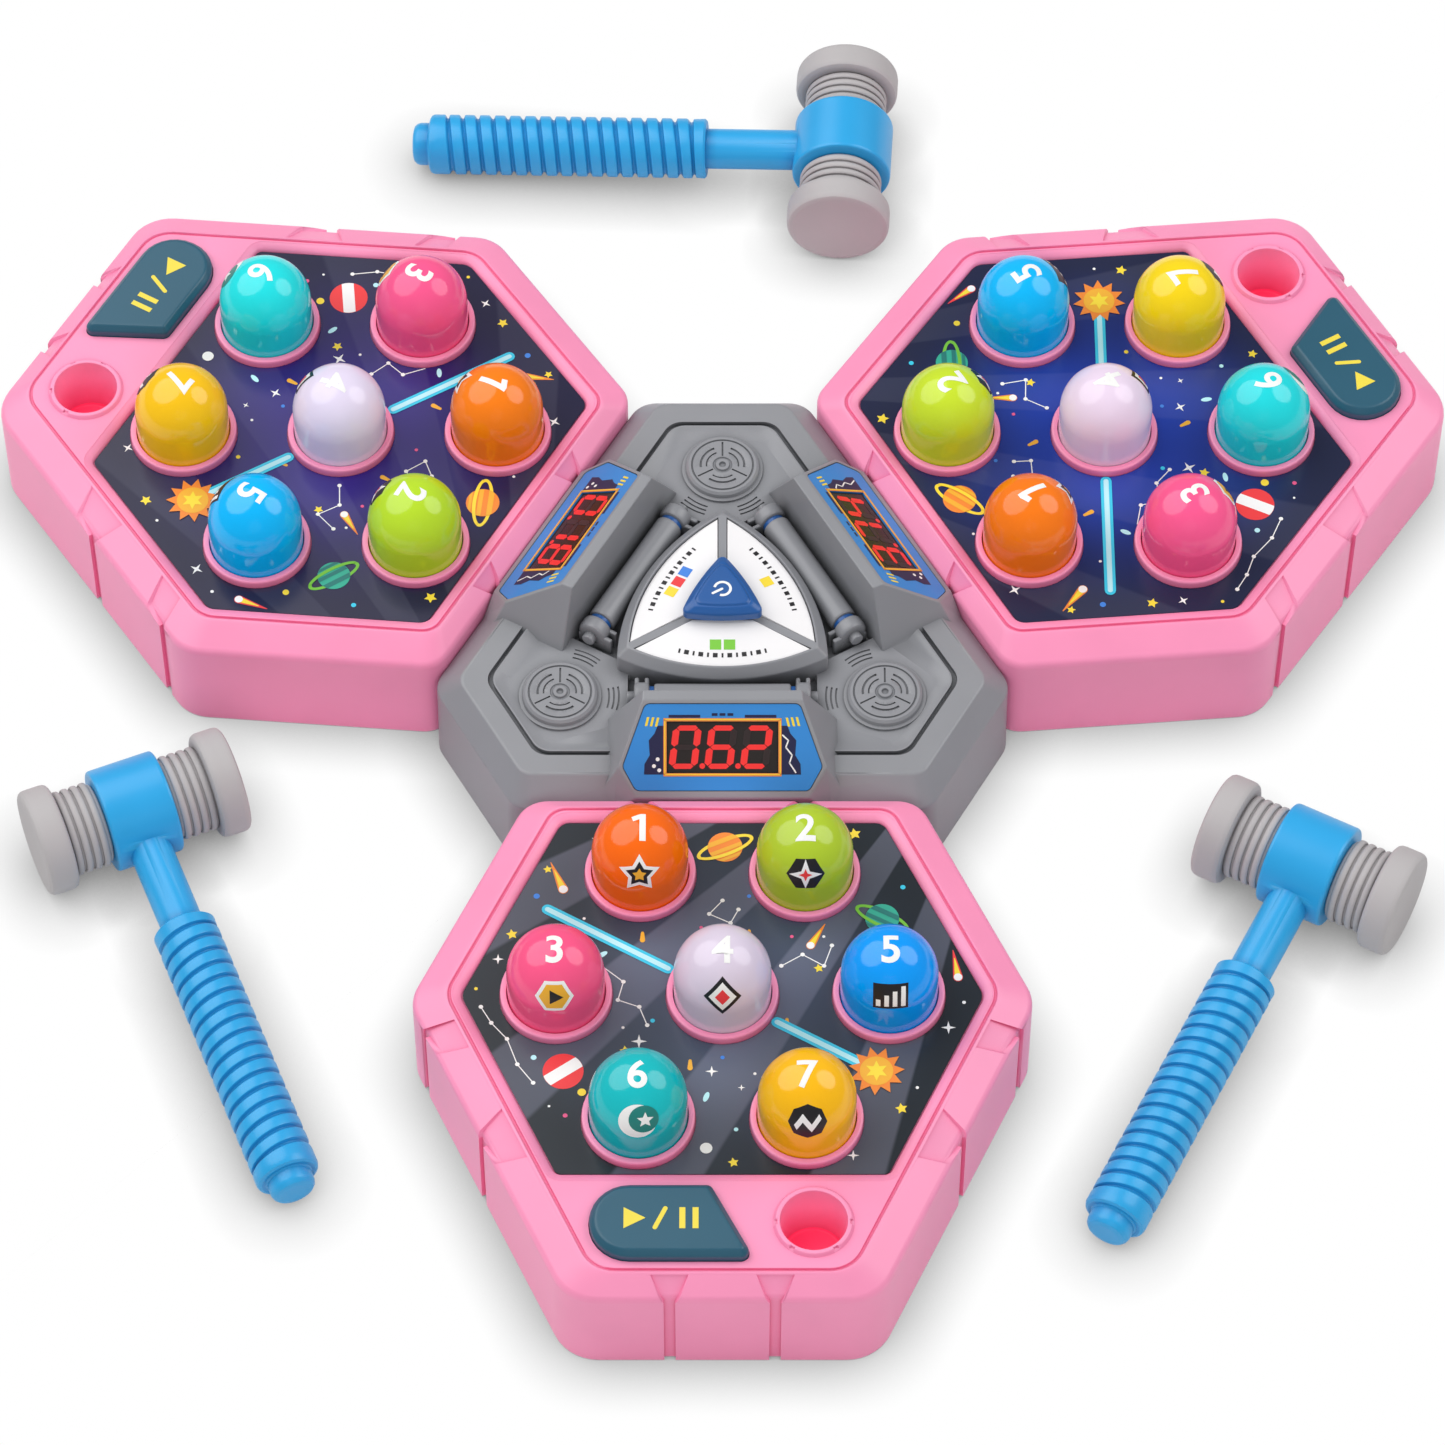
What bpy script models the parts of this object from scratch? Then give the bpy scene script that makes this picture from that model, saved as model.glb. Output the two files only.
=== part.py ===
"""Mole pounding game: a lobed console, three hexagonal pads of pop-up domes and three soft hammers."""
import math

import bmesh
import bpy
from mathutils import Matrix, Vector

# Fits shared by every piece
SEAT_GAP = 0.0003
SLIDE_GAP = 0.0003
OVERRUN = 0.002
MERGE_DISTANCE = 0.00001

# Facets of round work
DOME_SEGMENTS = 10
DOME_ARC_STEPS = 3
ROUND_SEGMENTS = 12
SMALL_SEGMENTS = 6
SWITCH_SIDES = 4
CORNER_STEPS = 2
PANEL_CORNER_STEPS = 1
BUTTON_CORNER_STEPS = 3
ARC_STEPS = 4
SMOOTH_ANGLE = math.radians(35)

# Domes, in their flower of seven
DOME_PITCH = 0.062
DOME_SPOT_SHARES = [(-0.5, 0.866), (0.5, 0.866), (-1, 0), (0, 0), (1, 0), (-0.5, -0.866), (0.5, -0.866)]
DOME_RADIUS = 0.01825
DOME_SKIRT = 0.0127
DOME_WALL = 0.0017
DOME_FLANGE = 0.0013
DOME_FLANGE_HEIGHT = 0.0015
COLLAR_WALL = 0.00245
COLLAR_RISE = 0.0043

# Pad levels above the floor
SHELL_FOOT = 0.0006
PAD_WALL_HEIGHT = 0.0444
RIM_RISE = 0.006
BED_DEPTH = 0.0028
DECK_THICKNESS = 0.0027
SHEET_THICKNESS = 0.0006
PAD_WALL = 0.0022
CAP_THICKNESS = 0.0024

# Pad outline: straight sides of the printed sheet, then what is added outwards
SIDE_ANGLE = math.radians(25.4)
SHEET_SIDE_SHARE = 1.42
SHEET_END_SHARE = 1.24
BED_SLOPE = 0.0034
LOOP_SETBACK = 0.0014
LOOP_WIDTH = 0.0012
LOOP_DEPTH = 0.0008
PANEL_DEPTH = 0.0374
RIM_LAND = 0.0013
SIDE_CHAMFER = 0.0117
CONSOLE_CHAMFER = 0.0067
NEAR_CHAMFER = 0.0083
WALL_CORNERS = (0.012, 0.016, 0.018)
RIM_CORNERS = (0.008, 0.012, 0.013)
SHEET_CORNERS = (0.005, 0.006, 0.003)
LEAST_CORNER = 0.003

# Channels between the raised plates on the pad's walls
CHANNEL_WIDTH = 0.0042
CHANNEL_FLARE = 0.0145
CHANNEL_DEPTH = 0.0015
CHANNEL_DROP = 0.0008
CHANNEL_LEDGE = 0.0005
NEAR_CHANNEL_OFFSET = 0.0193
SIDE_CHANNEL_SHARES = (0.1, 0.47)

# Start button and hammer cup on the near panel
BUTTON_LEFT = 0.0486
BUTTON_FAR_RIGHT = 0.0042
BUTTON_NEAR_RIGHT = 0.0115
BUTTON_MARGIN = 0.0035
BUTTON_END_RADIUS = 0.0148
BUTTON_CORNER_RADIUS = 0.003
BUTTON_RISE = 0.005
BUTTON_CHAMFER = 0.0022
BUTTON_FLANGE = 0.0014
BUTTON_FLANGE_HEIGHT = 0.0015
CUP_OFFSET = 0.0333
CUP_DEPTH_SHARE = 0.47
CUP_RADIUS = 0.0124
CUP_WALL = 0.0018
CUP_TAPER = 0.001
CUP_DEPTH = 0.025
CUP_LIP = 0.0008

# Inside a pad
BOARD_LEVEL = 0.0245
BOARD_THICKNESS = 0.0016
BOARD_SHARE = 1.22
BOARD_TAB_WIDTH = 0.014
SWITCH_RADIUS = 0.006
SWITCH_HEIGHT = 0.0145
POST_RADIUS = 0.003
POST_SPOT_SHARES = [(-0.5, 0), (0.5, 0), (0, 0.866), (0, -0.866)]
BOSS_RADIUS = 0.0042
BOSS_SPOT_SHARES = [(-1, 0.85), (1, 0.85), (-1, -0.85), (1, -0.85)]
SCREW_RECESS_RADIUS = 0.0032
SCREW_RECESS_DEPTH = 0.0012
TONGUE_WIDTH = 0.03
TONGUE_HEIGHT = 0.005
TONGUE_LENGTH = 0.008
TONGUE_LEVEL = 0.006

# Console shell
CONSOLE_SIDE = 0.0837
CONSOLE_LOBE = 0.1112
LOBE_DRAFT = 0.0008
CONSOLE_WALL_HEIGHT = 0.0372
CONSOLE_RISE = 0.0095
CONSOLE_SIDE_CHAMFER = 0.0102
CONSOLE_LOBE_CHAMFER = 0.0075
CONSOLE_CORNERS = 0.011
CONSOLE_RIM_CORNERS = 0.008
CONSOLE_WALL = 0.0024
RIM_BAND = 0.0088
GROOVE_WIDTH = 0.0015
GROOVE_LAND = 0.0006
GROOVE_DEPTH = 0.0022
TRAY_SLOPE = 0.0052
TRAY_DROP = 0.0023
TRAY_CORNERS = 0.005
TRAY_THICKNESS = 0.0022
MOAT_DEPTH = 0.0035
MOAT_START = 0.026
MOAT_HALF = 0.0365

# Grille discs on the lobes
DISC_REACH = 0.0722
DISC_RADIUS = 0.0143
DISC_FOOT = 0.0016
DISC_HEIGHT = 0.0035
DISC_GROOVE = 0.001
DISC_RING_SHARE = 0.8

# Raised three-sided frame round the mode buttons
FRAME_TIP = 0.047
FRAME_SIDE_SHARE = 0.72
FRAME_WALL_HEIGHT = 0.0083
FRAME_RISE = 0.0036
FRAME_BAND = 0.0046
FRAME_TIP_RADIUS = 0.002
FRAME_SHELL = 0.0016
FRAME_TOP_THICKNESS = 0.0044
MODE_TIP = 0.0412
RIB_WIDTH = 0.0032
HUB_REACH = 0.009
MODE_RISE = 0.001
MODE_SLOPE_SHARE = 0.117
MODE_FLANGE = 0.0012
MODE_FLANGE_HEIGHT = 0.0014
MODE_TRAVEL = 0.0012
MODE_SWITCH_REACH = 0.019

# Power button in the middle
POWER_TIP = 0.0185
POWER_SIDE_SHARE = 0.58
POWER_TIP_RADIUS = 0.0022
POWER_HEIGHT = 0.0063
POWER_BEVEL = 0.0016
POWER_TRAVEL = 0.0015
POWER_STEM_RADIUS = 0.004
POWER_SNAP = 0.0014
POWER_SNAP_HEIGHT = 0.0012

# Display housings, drawn as the front one in a plane across the console
FACE_TOP = (0.055, 0.0677)
FACE_FOOT = (0.0813, 0.0477)
RIDGE_DEPTH = 0.0045
RIDGE_RISE = 0.0002
BACK_RUN = 0.0035
HOUSING_HALF = 0.05
FACE_TOP_HALF = 0.0294
FACE_TIP_HALF = 0.038
FACE_TIP_DROP = 0.0074
FACE_FOOT_HALF = 0.033
FACE_CORNER_RADIUS = 0.0025
FACE_BORDER = 0.0016
FLANK_TILT = math.radians(32)
PANEL_THICKNESS = 0.0012
PANEL_REVEAL = 0.0003
WINDOW_HALF_WIDTH = 0.0212
WINDOW_HALF_HEIGHT = 0.0098
MODULE_DEPTH = 0.007
MODULE_REVEAL = 0.0005

# Round rails behind the display housings
RAIL_REACH = 0.0385
RAIL_RADIUS = 0.0055
RAIL_HALF_LENGTH = 0.031
RAIL_LIFT = 0.0035
CLEVIS_WIDTH = 0.006
CLEVIS_DEPTH = 0.012
CLEVIS_HEIGHT = 0.0125

# Inside the console
BASE_THICKNESS = 0.0026
BAY_WIDTH = 0.062
BAY_LENGTH = 0.05
BAY_START = 0.013
BAY_HEIGHT = 0.017
BAY_WALL = 0.0016
DOOR_REBATE = 0.003
DOOR_THICKNESS = 0.0015
DOOR_LATCH_WIDTH = 0.012
DOOR_LATCH_LENGTH = 0.0015
MAIN_BOARD_LEVEL = 0.03
MAIN_BOARD_RADIUS = 0.036
MAIN_POST_SPOTS = [(-0.024, -0.014), (0.024, -0.014), (0, 0.025)]
CONSOLE_BOSS_GAP = 0.0036
SPEAKER_RADIUS = 0.016
SPEAKER_HEIGHT = 0.009
MAGNET_SHARE = 0.6
MAGNET_HEIGHT = 0.005

# Hammers
HEAD_LENGTH = 0.082
HEAD_RADIUS = 0.021
HEAD_CAP = 0.012
HEAD_ROUND = 0.003
NECK_RADIUS = 0.0155
NECK_RIB = 0.0018
BARREL_WIDTH = 0.0266
BARREL_RADIUS = 0.0202
BARREL_EDGE = 0.0015
SPIGOT_RADIUS = 0.009
SPIGOT_LENGTH = 0.006
HANDLE_REACH = 0.178
STEM_RADIUS = 0.00825
STEM_LENGTH = 0.036
GRIP_RADIUS = 0.0123
GRIP_EDGE = 0.0015
PLUG_RADIUS = 0.00875
PLUG_LENGTH = 0.007
HAMMER_SPOTS = {
    "left": (-0.2264, -0.073, math.radians(-67.7)),
    "right": (0.2245, -0.0975, math.radians(-117.7)),
    "rear": (0.0496, 0.253, math.radians(176.4)),
}

# Worked-out levels
PAD_WALL_TOP = SHELL_FOOT + PAD_WALL_HEIGHT
RIM_TOP = PAD_WALL_TOP + RIM_RISE
BED_TOP = RIM_TOP - BED_DEPTH
DECK_UNDERSIDE = BED_TOP - DECK_THICKNESS
COLLAR_TOP = BED_TOP + COLLAR_RISE
DOME_SHOULDER = COLLAR_TOP + DOME_SKIRT
COLLAR_BORE = DOME_RADIUS + SLIDE_GAP
COLLAR_RADIUS = COLLAR_BORE + COLLAR_WALL
BOARD_TOP = BOARD_LEVEL + BOARD_THICKNESS
SWITCH_TOP = BOARD_TOP + SWITCH_HEIGHT
CONSOLE_WALL_TOP = SHELL_FOOT + CONSOLE_WALL_HEIGHT
CONSOLE_RIM_TOP = CONSOLE_WALL_TOP + CONSOLE_RISE
TRAY_TOP = CONSOLE_RIM_TOP - TRAY_DROP
MOAT_FLOOR = TRAY_TOP - MOAT_DEPTH
CONSOLE_CEILING = MOAT_FLOOR - TRAY_THICKNESS
FRAME_SHOULDER = TRAY_TOP + FRAME_WALL_HEIGHT
FRAME_TOP = FRAME_SHOULDER + FRAME_RISE
FRAME_UNDERSIDE = FRAME_TOP - FRAME_TOP_THICKNESS
MODE_FLANGE_TOP = FRAME_UNDERSIDE - SEAT_GAP
MODE_FLANGE_FOOT = MODE_FLANGE_TOP - MODE_FLANGE_HEIGHT
POWER_FOOT = FRAME_TOP + MODE_RISE + POWER_TRAVEL + SEAT_GAP
MAIN_BOARD_TOP = MAIN_BOARD_LEVEL + BOARD_THICKNESS

# Worked-out outlines: distances of the slanted sides, the console side and the near side
SHEET_SIDES = (DOME_PITCH * SHEET_SIDE_SHARE, DOME_PITCH * SHEET_END_SHARE, DOME_PITCH * SHEET_END_SHARE)
BRIM = SEAT_GAP + BED_SLOPE
LOOP_SIDES = (
    SHEET_SIDES[0] + BRIM + LOOP_SETBACK,
    SHEET_SIDES[1] + BRIM + LOOP_SETBACK,
    SHEET_SIDES[2] + BRIM + PANEL_DEPTH,
)
RIM_SIDES = tuple(distance + RIM_LAND for distance in LOOP_SIDES)
WALL_SIDES = (
    RIM_SIDES[0] + SIDE_CHAMFER,
    RIM_SIDES[1] + CONSOLE_CHAMFER,
    RIM_SIDES[2] + NEAR_CHAMFER,
)
PANEL_FAR = SHEET_SIDES[2] + BRIM
PANEL_NEAR = LOOP_SIDES[2]
PAD_REACH = CONSOLE_SIDE + SEAT_GAP + WALL_SIDES[1]
CUP_SPOT = (CUP_OFFSET, -PANEL_FAR - PANEL_DEPTH * CUP_DEPTH_SHARE)
CONSOLE_LOBE_TOP = CONSOLE_LOBE - LOBE_DRAFT
CONSOLE_RIM = (CONSOLE_SIDE - CONSOLE_SIDE_CHAMFER, CONSOLE_LOBE_TOP - CONSOLE_LOBE_CHAMFER)
CONSOLE_HOLLOW = (CONSOLE_SIDE - CONSOLE_WALL, CONSOLE_LOBE_TOP - CONSOLE_WALL)
CONSOLE_BOSS_REACH = DISC_REACH + SPEAKER_RADIUS + BOSS_RADIUS + CONSOLE_BOSS_GAP
FACE_MIDDLE = Vector((FACE_TOP[0] + FACE_FOOT[0], 0, FACE_TOP[1] + FACE_FOOT[1])) / 2
FACE_HALF = math.dist(FACE_TOP, FACE_FOOT) / 2
FACE_UP = Vector((FACE_TOP[0] - FACE_FOOT[0], 0, FACE_TOP[1] - FACE_FOOT[1])).normalized()
POWER_STEM_FOOT = FRAME_UNDERSIDE - SEAT_GAP - POWER_SNAP_HEIGHT

PAD_DIRECTIONS = {"front": math.radians(-90), "right": math.radians(30), "left": math.radians(150)}
LOBE_DIRECTIONS = [math.radians(90), math.radians(210), math.radians(330)]

# Colours: linear red, green, blue
PINK = (1.0, 0.34, 0.55)
GREY = (0.3, 0.3, 0.3)
SLATE = (0.08, 0.1, 0.13)
BUTTON_BLUE = (0.05, 0.15, 0.22)
POWER_BLUE = (0.03, 0.13, 0.4)
HANDLE_BLUE = (0.03, 0.34, 0.8)
SOFT_GREY = (0.4, 0.38, 0.38)
WHITE = (0.85, 0.85, 0.85)
BOARD_GREEN = (0.02, 0.15, 0.05)
DARK = (0.02, 0.02, 0.02)
DISPLAY_BLUE = (0.05, 0.28, 0.65)
DOME_COLOURS = [
    (0.9, 0.15, 0.02),
    (0.27, 0.56, 0.04),
    (0.8, 0.08, 0.2),
    (0.6, 0.54, 0.7),
    (0.02, 0.24, 0.75),
    (0.02, 0.4, 0.38),
    (0.8, 0.4, 0.03),
]


def collection(name):
    """A new collection in the scene."""
    made = bpy.data.collections.new(name)
    bpy.context.scene.collection.children.link(made)
    return made


def plastic(name, colour, roughness=0.4):
    """A plain moulded plastic."""
    material = bpy.data.materials.new(name)
    material.use_nodes = True
    shader = material.node_tree.nodes["Principled BSDF"]
    shader.inputs["Base Color"].default_value = (*colour, 1)
    shader.inputs["Roughness"].default_value = roughness
    shader.inputs["Metallic"].default_value = 0
    return material


def evaluated_mesh(source):
    """The object's mesh after its modifiers, with loose caps welded."""
    bpy.context.view_layer.update()
    graph = bpy.context.evaluated_depsgraph_get()
    mesh = bpy.data.meshes.new_from_object(source.evaluated_get(graph))
    shape = bmesh.new()
    shape.from_mesh(mesh)
    bmesh.ops.remove_doubles(shape, verts=shape.verts, dist=MERGE_DISTANCE)
    shape.to_mesh(mesh)
    shape.free()
    return mesh


def work_object(name, mesh):
    """A working solid: it stays among the cutters until it is placed as a piece."""
    made = bpy.data.objects.new(name, mesh)
    made.hide_render = True
    made.display_type = "WIRE"
    CUTTERS.objects.link(made)
    return made


def combine(target, tool, operation):
    """Boolean of two working solids, applied to the first."""
    modifier = target.modifiers.new(operation.lower(), "BOOLEAN")
    modifier.operation = operation
    modifier.solver = "EXACT"
    modifier.object = tool
    mesh = evaluated_mesh(target)
    target.modifiers.clear()
    target.data = mesh
    return target


def cut(target, tool):
    """Take the tool out of the target."""
    return combine(target, tool, "DIFFERENCE")


def join(target, tool):
    """Grow the target by the tool."""
    return combine(target, tool, "UNION")


def plate(name, outlines, low, high):
    """A flat outline, with any holes after it, filled between two levels."""
    curve = bpy.data.curves.new(name, "CURVE")
    curve.dimensions = "2D"
    curve.fill_mode = "BOTH"
    curve.extrude = (high - low) / 2
    for outline in outlines:
        spline = curve.splines.new("POLY")
        spline.points.add(len(outline) - 1)
        for point, (x, y) in zip(spline.points, outline):
            point.co = (x, y, 0, 1)
        spline.use_cyclic_u = True
    drawn = bpy.data.objects.new(name, curve)
    CUTTERS.objects.link(drawn)
    mesh = evaluated_mesh(drawn)
    mesh.transform(Matrix.Translation((0, 0, (high + low) / 2)))
    bpy.data.objects.remove(drawn)
    return work_object(name, mesh)


def loft(name, rings):
    """A closed solid through rings of as many points; a ring is an outline and a level or a level rule."""
    shape = bmesh.new()
    rows = []
    for outline, level in rings:
        levels = [level(x, y) if callable(level) else level for x, y in outline]
        rows.append([shape.verts.new((x, y, z)) for (x, y), z in zip(outline, levels)])
    count = len(rows[0])
    for low, high in zip(rows, rows[1:]):
        for i in range(count):
            j = (i + 1) % count
            shape.faces.new((low[i], low[j], high[j], high[i]))
    shape.faces.new(reversed(rows[0]))
    shape.faces.new(rows[-1])
    mesh = bpy.data.meshes.new(name)
    shape.to_mesh(mesh)
    shape.free()
    return work_object(name, mesh)


def turned(name, profile, segments):
    """A profile of (radius, level) points, outer side running down, turned about Z by a Screw."""
    mesh = bpy.data.meshes.new(name)
    edges = [(i, i + 1) for i in range(len(profile) - 1)]
    mesh.from_pydata([(radius, 0, level) for radius, level in profile], edges, [])
    made = work_object(name, mesh)
    screw = made.modifiers.new("turn", "SCREW")
    screw.axis = "Z"
    screw.angle = 2 * math.pi
    screw.steps = segments
    screw.render_steps = segments
    screw.use_merge_vertices = True
    screw.merge_threshold = MERGE_DISTANCE
    mesh = evaluated_mesh(made)
    made.modifiers.clear()
    made.data = mesh
    return made


def rods(name, spots, radius, low, high, segments, top_radius=None):
    """Upright round rods, or cones with another top radius, with a corner straight along +X."""
    shape = bmesh.new()
    for x, y in spots:
        bmesh.ops.create_cone(
            shape,
            cap_ends=True,
            segments=segments,
            radius1=radius,
            radius2=radius if top_radius is None else top_radius,
            depth=high - low,
            matrix=Matrix.Translation((x, y, (high + low) / 2)) @ Matrix.Rotation(-math.pi / 2, 4, "Z"),
        )
    mesh = bpy.data.meshes.new(name)
    shape.to_mesh(mesh)
    shape.free()
    return work_object(name, mesh)


def block(name, low, high):
    """A box between two corners."""
    shape = bmesh.new()
    bmesh.ops.create_cube(shape, size=1)
    bmesh.ops.scale(shape, verts=shape.verts, vec=Vector(high) - Vector(low))
    bmesh.ops.translate(shape, verts=shape.verts, vec=(Vector(high) + Vector(low)) / 2)
    mesh = bpy.data.meshes.new(name)
    shape.to_mesh(mesh)
    shape.free()
    return work_object(name, mesh)


def turn_mesh(made, matrix):
    """Move a working solid's mesh."""
    made.data.transform(matrix)
    return made


def crossing(first, second):
    """Where two sides meet, each given by its direction and its distance."""
    (a, p), (b, q) = first, second
    turn = math.sin(b - a)
    x = (p * math.sin(b) - q * math.sin(a)) / turn
    y = (q * math.cos(a) - p * math.cos(b)) / turn
    return Vector((x, y))


def corners_of(sides):
    """Corners of a polygon whose sides are (direction, distance), counter-clockwise."""
    return [crossing(side, sides[(i + 1) % len(sides)]) for i, side in enumerate(sides)]


def inset(corners, distance):
    """Corners of a convex polygon moved in by a distance, or out by a negative one."""
    sides = []
    for i, corner in enumerate(corners):
        step = Vector(corners[(i + 1) % len(corners)]) - Vector(corner)
        angle = math.atan2(step.y, step.x) - math.pi / 2
        normal = Vector((math.cos(angle), math.sin(angle)))
        sides.append((angle, normal.dot(Vector(corner)) - distance))
    moved = corners_of(sides)
    return moved[-1:] + moved[:-1]


def rounded(corners, radii, steps=CORNER_STEPS):
    """A polygon's outline with each corner replaced by an arc."""
    points = []
    for i, corner in enumerate(corners):
        corner = Vector(corner)
        back = (Vector(corners[i - 1]) - corner).normalized()
        ahead = (Vector(corners[(i + 1) % len(corners)]) - corner).normalized()
        half = back.angle(ahead) / 2
        radius = radii[i] if isinstance(radii, (list, tuple)) else radii
        centre = corner + (back + ahead).normalized() * radius / math.sin(half)
        start = corner + back * radius / math.tan(half) - centre
        sweep = math.pi - 2 * half
        for step in range(steps + 1):
            x, y = turned_point(start.x, start.y, sweep * step / steps)
            points.append((centre.x + x, centre.y + y))
    return points


def circle(x, y, radius, segments):
    """Points round a circle."""
    turns = [2 * math.pi * i / segments for i in range(segments)]
    return [(x + radius * math.cos(turn), y + radius * math.sin(turn)) for turn in turns]


def pad_corners(distances):
    """Six corners of a pad outline, from the console side's left."""
    side, console_side, near = distances
    return corners_of([
        (math.pi / 2, console_side),
        (math.pi - SIDE_ANGLE, side),
        (math.pi + SIDE_ANGLE, side),
        (3 * math.pi / 2, near),
        (2 * math.pi - SIDE_ANGLE, side),
        (2 * math.pi + SIDE_ANGLE, side),
    ])


def pad_outline(distances, radii, moved_in=0):
    """Rounded pad outline; radii are the console, vertex and near corners'."""
    console_corner, vertex, near = [max(radius - moved_in, LEAST_CORNER) for radius in radii]
    radii = [console_corner, vertex, near, near, vertex, console_corner]
    return rounded(inset(pad_corners(distances), moved_in), radii)


def console_outline(side, lobe, radius):
    """Rounded console outline: three sides that face the pads and three lobe ends."""
    sides = []
    for i in range(3):
        sides.append((math.radians(30 + 120 * i), side))
        sides.append((math.radians(90 + 120 * i), lobe))
    return rounded(corners_of(sides), radius)


def side_arc(tip, bow_share):
    """Centre offset and radius of the bowed side between two tips of a three-sided outline."""
    middle = tip * bow_share
    centre = (middle ** 2 - tip ** 2) / (2 * middle - tip)
    return centre, middle - centre


def bowed_triangle(tip, tip_radius, bow_share=FRAME_SIDE_SHARE):
    """Three bowed sides with flattened tips, the tips on the lobe directions."""
    centre, radius = side_arc(tip, bow_share)
    widest = math.asin(tip * math.sin(math.pi / 3) / radius)
    reach = widest - tip_radius / radius
    points = []
    for direction in PAD_DIRECTIONS.values():
        for step in range(ARC_STEPS + 1):
            angle = reach * (2 * step / ARC_STEPS - 1)
            along = centre + radius * math.cos(angle)
            across = radius * math.sin(angle)
            points.append(turned_point(along, across, direction))
    return points


def turned_point(along, across, direction):
    """A point given along and across a direction."""
    x = along * math.cos(direction) - across * math.sin(direction)
    y = along * math.sin(direction) + across * math.cos(direction)
    return (x, y)


def spread(shares, length):
    """Places worked out from shares of one length."""
    return [(x * length, y * length) for x, y in shares]


def pad_top_shell():
    """Pink casing: walls, chamfered rim, sunk bed, seven collars, button hole and hammer cup."""
    walls = pad_outline(WALL_SIDES, WALL_CORNERS)
    shell = loft("pad_shell_tool", [
        (walls, SHELL_FOOT),
        (walls, PAD_WALL_TOP),
        (pad_outline(RIM_SIDES, RIM_CORNERS), RIM_TOP),
    ])
    cut(shell, wall_channels())
    outer_loop = pad_outline(LOOP_SIDES, RIM_CORNERS, -LOOP_WIDTH / 2)
    inner_loop = pad_outline(LOOP_SIDES, RIM_CORNERS, LOOP_WIDTH / 2)
    cut(shell, plate("loop_tool", [outer_loop, inner_loop], RIM_TOP - LOOP_DEPTH, RIM_TOP + OVERRUN))
    foot = pad_outline(SHEET_SIDES, SHEET_CORNERS, -SEAT_GAP)
    brim = pad_outline(SHEET_SIDES, SHEET_CORNERS, -BRIM)
    cut(shell, loft("bed_tool", [(foot, BED_TOP), (brim, RIM_TOP), (brim, RIM_TOP + OVERRUN)]))
    cavity = pad_outline(WALL_SIDES, WALL_CORNERS, PAD_WALL + CHANNEL_DEPTH)
    cut(shell, plate("cavity_tool", [cavity], SHELL_FOOT - OVERRUN, DECK_UNDERSIDE))
    domes = spread(DOME_SPOT_SHARES, DOME_PITCH)
    middle = (BED_TOP + DECK_UNDERSIDE) / 2
    join(shell, rods("collar_tool", domes, COLLAR_RADIUS, middle, COLLAR_TOP, DOME_SEGMENTS))
    cut(shell, rods(
        "bore_tool", domes, COLLAR_BORE, DECK_UNDERSIDE - OVERRUN, COLLAR_TOP + OVERRUN, DOME_SEGMENTS))
    lip = RIM_TOP + CUP_LIP
    floor = RIM_TOP - CUP_DEPTH
    outer = CUP_RADIUS + CUP_WALL
    join(shell, rods("cup_tool", [CUP_SPOT], outer, floor - CUP_WALL, lip, ROUND_SEGMENTS))
    cut(shell, rods(
        "cup_hollow_tool", [CUP_SPOT], CUP_RADIUS - CUP_TAPER,
        floor, lip + OVERRUN, ROUND_SEGMENTS, CUP_RADIUS))
    hole = button_outline(SLIDE_GAP)
    cut(shell, plate("button_hole_tool", [hole], DECK_UNDERSIDE - OVERRUN, RIM_TOP + OVERRUN))
    bosses = spread(BOSS_SPOT_SHARES, DOME_PITCH)
    foot_level = CAP_THICKNESS + SEAT_GAP
    join(shell, rods("boss_tool", bosses, BOSS_RADIUS, foot_level, middle, SMALL_SEGMENTS))
    console_face = WALL_SIDES[1]
    join(shell, block(
        "tongue_tool",
        (-TONGUE_WIDTH / 2, console_face - PAD_WALL, TONGUE_LEVEL),
        (TONGUE_WIDTH / 2, console_face + TONGUE_LENGTH, TONGUE_LEVEL + TONGUE_HEIGHT),
    ))
    return shell


def wall_channels():
    """Skin of the shell between the raised wall plates: slots that flare over the chamfer."""
    core_walls = pad_outline(WALL_SIDES, WALL_CORNERS, CHANNEL_DEPTH)
    core_rim = pad_outline(RIM_SIDES, RIM_CORNERS)
    core = loft("channel_core_tool", [
        (core_walls, SHELL_FOOT - 2 * OVERRUN),
        (core_walls, PAD_WALL_TOP - CHANNEL_DROP),
        (core_rim, RIM_TOP - CHANNEL_DROP),
    ])
    half = CHANNEL_WIDTH / 2
    flare = CHANNEL_FLARE / 2
    slot = [
        (-half, SHELL_FOOT - OVERRUN),
        (half, SHELL_FOOT - OVERRUN),
        (half, PAD_WALL_TOP - half),
        (flare, RIM_TOP),
        (-flare, RIM_TOP),
        (-half, PAD_WALL_TOP - half),
    ]
    corners = pad_corners(WALL_SIDES)
    near_left, near_right = corners[2], corners[3]
    centre = (near_left + near_right) / 2
    spots = []
    for sign in (-1, 1):
        spots.append((centre + Vector((sign * NEAR_CHANNEL_OFFSET, 0)), -math.pi / 2, NEAR_CHAMFER))
    for share in SIDE_CHANNEL_SHARES:
        spots.append((corners[1].lerp(near_left, share), math.pi + SIDE_ANGLE, SIDE_CHAMFER))
        spots.append((corners[4].lerp(near_right, share), -SIDE_ANGLE, SIDE_CHAMFER))
    channels = None
    for spot, direction, run in spots:
        made = plate("channel_tool", [slot], CHANNEL_LEDGE - run, OVERRUN)
        stand = Matrix.Rotation(direction + math.pi / 2, 4, "Z") @ Matrix.Rotation(math.pi / 2, 4, "X")
        turn_mesh(made, Matrix.Translation((spot.x, spot.y, 0)) @ stand)
        channels = made if channels is None else join(channels, made)
    return cut(channels, core)


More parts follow.
